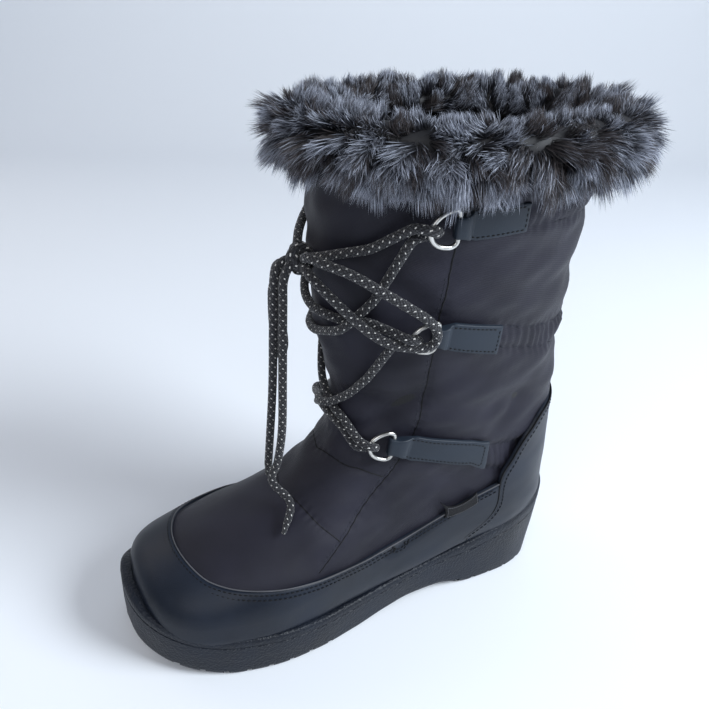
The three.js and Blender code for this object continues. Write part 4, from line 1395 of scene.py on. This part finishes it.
STRAND_COUNT = 32000
STRAND_HALF_WIDTHS = (0.2, 0.19, 0.13, 0.0)
WISPS = 760
wisp_share = random.uniform(0, 1, WISPS)
wisp_angle = random.uniform(0, 2 * np.pi, WISPS)
wisp_turn = random.normal(0, 0.46, (WISPS, 2))
wisp_tone = random.uniform(0, 1, WISPS)
wisp_long = random.uniform(0.8, 1.15, WISPS)
ROUND_MM = 72.0
ACROSS_MM = 62.0


def strand_bases(count, start, end):
    share = random.uniform(0, 1, count) ** 0.92
    angle = random.uniform(start, end, count)
    nearest = np.empty(count, int)
    for chunk in np.array_split(np.arange(count), 16):
        turn = (angle[chunk, None] - wisp_angle[None] + np.pi) % (2 * np.pi) - np.pi
        away = (turn * ROUND_MM) ** 2 + ((share[chunk, None] - wisp_share[None]) * ACROSS_MM) ** 2
        nearest[chunk] = np.argmin(away, axis=1)
    return share, angle, nearest


def strand_tips(root, normal, along, share, turn, long):
    """Where a strand of this rooting and lean ends."""
    around = np.cross(normal, along)
    out = fur_out(share)[:, None]
    up = fur_up(share)[:, None]
    aim = normal * out + along * (up + turn[:, 1:] * 0.7) + around * turn[:, :1]
    return root + unit(aim) * (fur_length(share) * long)[:, None]


def make_fur(name, start, end):
    share, angle, wisp = strand_bases(STRAND_COUNT, start, end)
    root, normal, along = cuff_root(share, angle)
    heart_root, heart_normal, heart_along = cuff_root(wisp_share, wisp_angle)
    heart_tip = strand_tips(heart_root, heart_normal, heart_along, wisp_share, wisp_turn, wisp_long * 1.05)
    own_turn = wisp_turn[wisp] + random.normal(0, 0.16, (STRAND_COUNT, 2))
    long = wisp_long[wisp] * random.uniform(0.55, 1.12, STRAND_COUNT)
    tip = strand_tips(root, normal, along, share, own_turn, long)
    gather = random.uniform(0.12, 0.55, STRAND_COUNT)[:, None]
    tip = tip * (1 - gather) + heart_tip[wisp] * gather
    droop = np.array([0, 0, -1.0]) * (random.uniform(1.5, 5.0, STRAND_COUNT) * (share < 0.7))[:, None]
    lift = normal * random.uniform(1.0, 4.0, STRAND_COUNT)[:, None] * np.sign(fur_out(share))[:, None]
    at = np.array([0, 0.35, 0.7, 1.0])
    step = at[None, :, None]
    arch = 4 * step * (1 - step) * 0.9
    line = root[:, None] * (1 - step) + tip[:, None] * step
    line = line + lift[:, None] * arch + droop[:, None] * step ** 2
    heading = unit(line[:, 3] - line[:, 0])
    width_way = unit(np.cross(heading, random.normal(size=(STRAND_COUNT, 3))))
    own_width = random.uniform(0.7, 1.25, STRAND_COUNT)[:, None, None]
    width = np.array(STRAND_HALF_WIDTHS)[None, :, None] * own_width
    left = line - width_way[:, None] * width
    right = line + width_way[:, None] * width
    pairs = [edge[:, k] for k in range(3) for edge in (left, right)]
    points = np.stack([*pairs, line[:, 3]], 1)
    one = np.array([(0, 1, 3), (0, 3, 2), (2, 3, 5), (2, 5, 4), (4, 5, 6)])
    faces = (one[None] + (np.arange(STRAND_COUNT) * 7)[:, None, None]).reshape(-1, 3)
    tone = np.clip(wisp_tone[wisp] + random.normal(0, 0.12, STRAND_COUNT), 0.01, 0.99)
    level = np.clip(at[None] * random.uniform(0.7, 1.1, STRAND_COUNT)[:, None], 0, 1)
    level = level[:, [0, 0, 1, 1, 2, 2, 3]]
    uv = np.stack([np.repeat(tone[:, None], 7, axis=1), level], -1)
    return mesh_piece(name, points, faces, uv)


for index, quarter in enumerate(("front", "lateral", "back", "medial")):
    middle = index * np.pi / 2
    piece = make_fur(f"fur_{quarter}", middle - np.pi / 4, middle + np.pi / 4)
    finish_piece(piece, FUR, "fur", "fur_collar")

# %% [markdown]
# ## Floor, wall and light
# A pale floor that runs up into a wall, so the boot stands in a bright room. Daylight comes from behind and
# to the right, and a large soft source fills the front.

# %% Floor
def make_floor():
    side, depth, bend, height = 3.5, 1.1, 0.5, 2.2
    profile = [(-2.2, 0.0)]
    curve = np.linspace(0, math.pi / 2, 16)
    profile += [(depth + bend * math.sin(a), bend * (1 - math.cos(a))) for a in curve]
    profile += [(depth + bend, height)]
    away = np.array([-math.sin(CAMERA_AZIMUTH), math.cos(CAMERA_AZIMUTH)])
    across = np.array([away[1], -away[0]])
    plan = [(away * reach + across * x, z) for reach, z in profile for x in (-side, side)]
    points = [(p[0] / MM, p[1] / MM, z / MM) for p, z in plan]
    floor = mesh_piece("floor", points, grid_faces(len(profile), 2))
    material, _, shader = start_material("pale_floor", 0.6, specular=0.3)
    shader.inputs["Base Color"].default_value = (0.88, 0.9, 0.93, 1)
    floor.data.materials.append(material)


make_floor()


# %% Lights
def area_light(name, place, aim, size, power, color):
    data = bpy.data.lights.new(name, "AREA")
    data.shape = "DISK"
    data.size = size
    data.energy = power
    data.color = color
    light = bpy.data.objects.new(name, data)
    light.location = place
    light.rotation_euler = (Vector(aim) - Vector(place)).to_track_quat("-Z", "Y").to_euler()
    bpy.context.scene.collection.objects.link(light)


area_light("window", (0.9, 0.9, 1.1), (0, -0.05, 0.12), 0.9, 34, (0.86, 0.93, 1.0))
area_light("room", (1.1, -0.9, 1.3), (0, -0.05, 0.12), 1.4, 10, (0.96, 0.98, 1.0))
area_light("warm_side", (-0.9, -0.9, 0.8), (0, -0.1, 0.1), 0.9, 2.5, (1.0, 0.9, 0.8))
world = bpy.data.worlds.new("room_light")
world.use_nodes = True
world.node_tree.nodes["Background"].inputs[0].default_value = (0.74, 0.83, 1.0, 1)
world.node_tree.nodes["Background"].inputs[1].default_value = 0.3
bpy.context.scene.world = world
bpy.context.scene.view_settings.view_transform = "Standard"
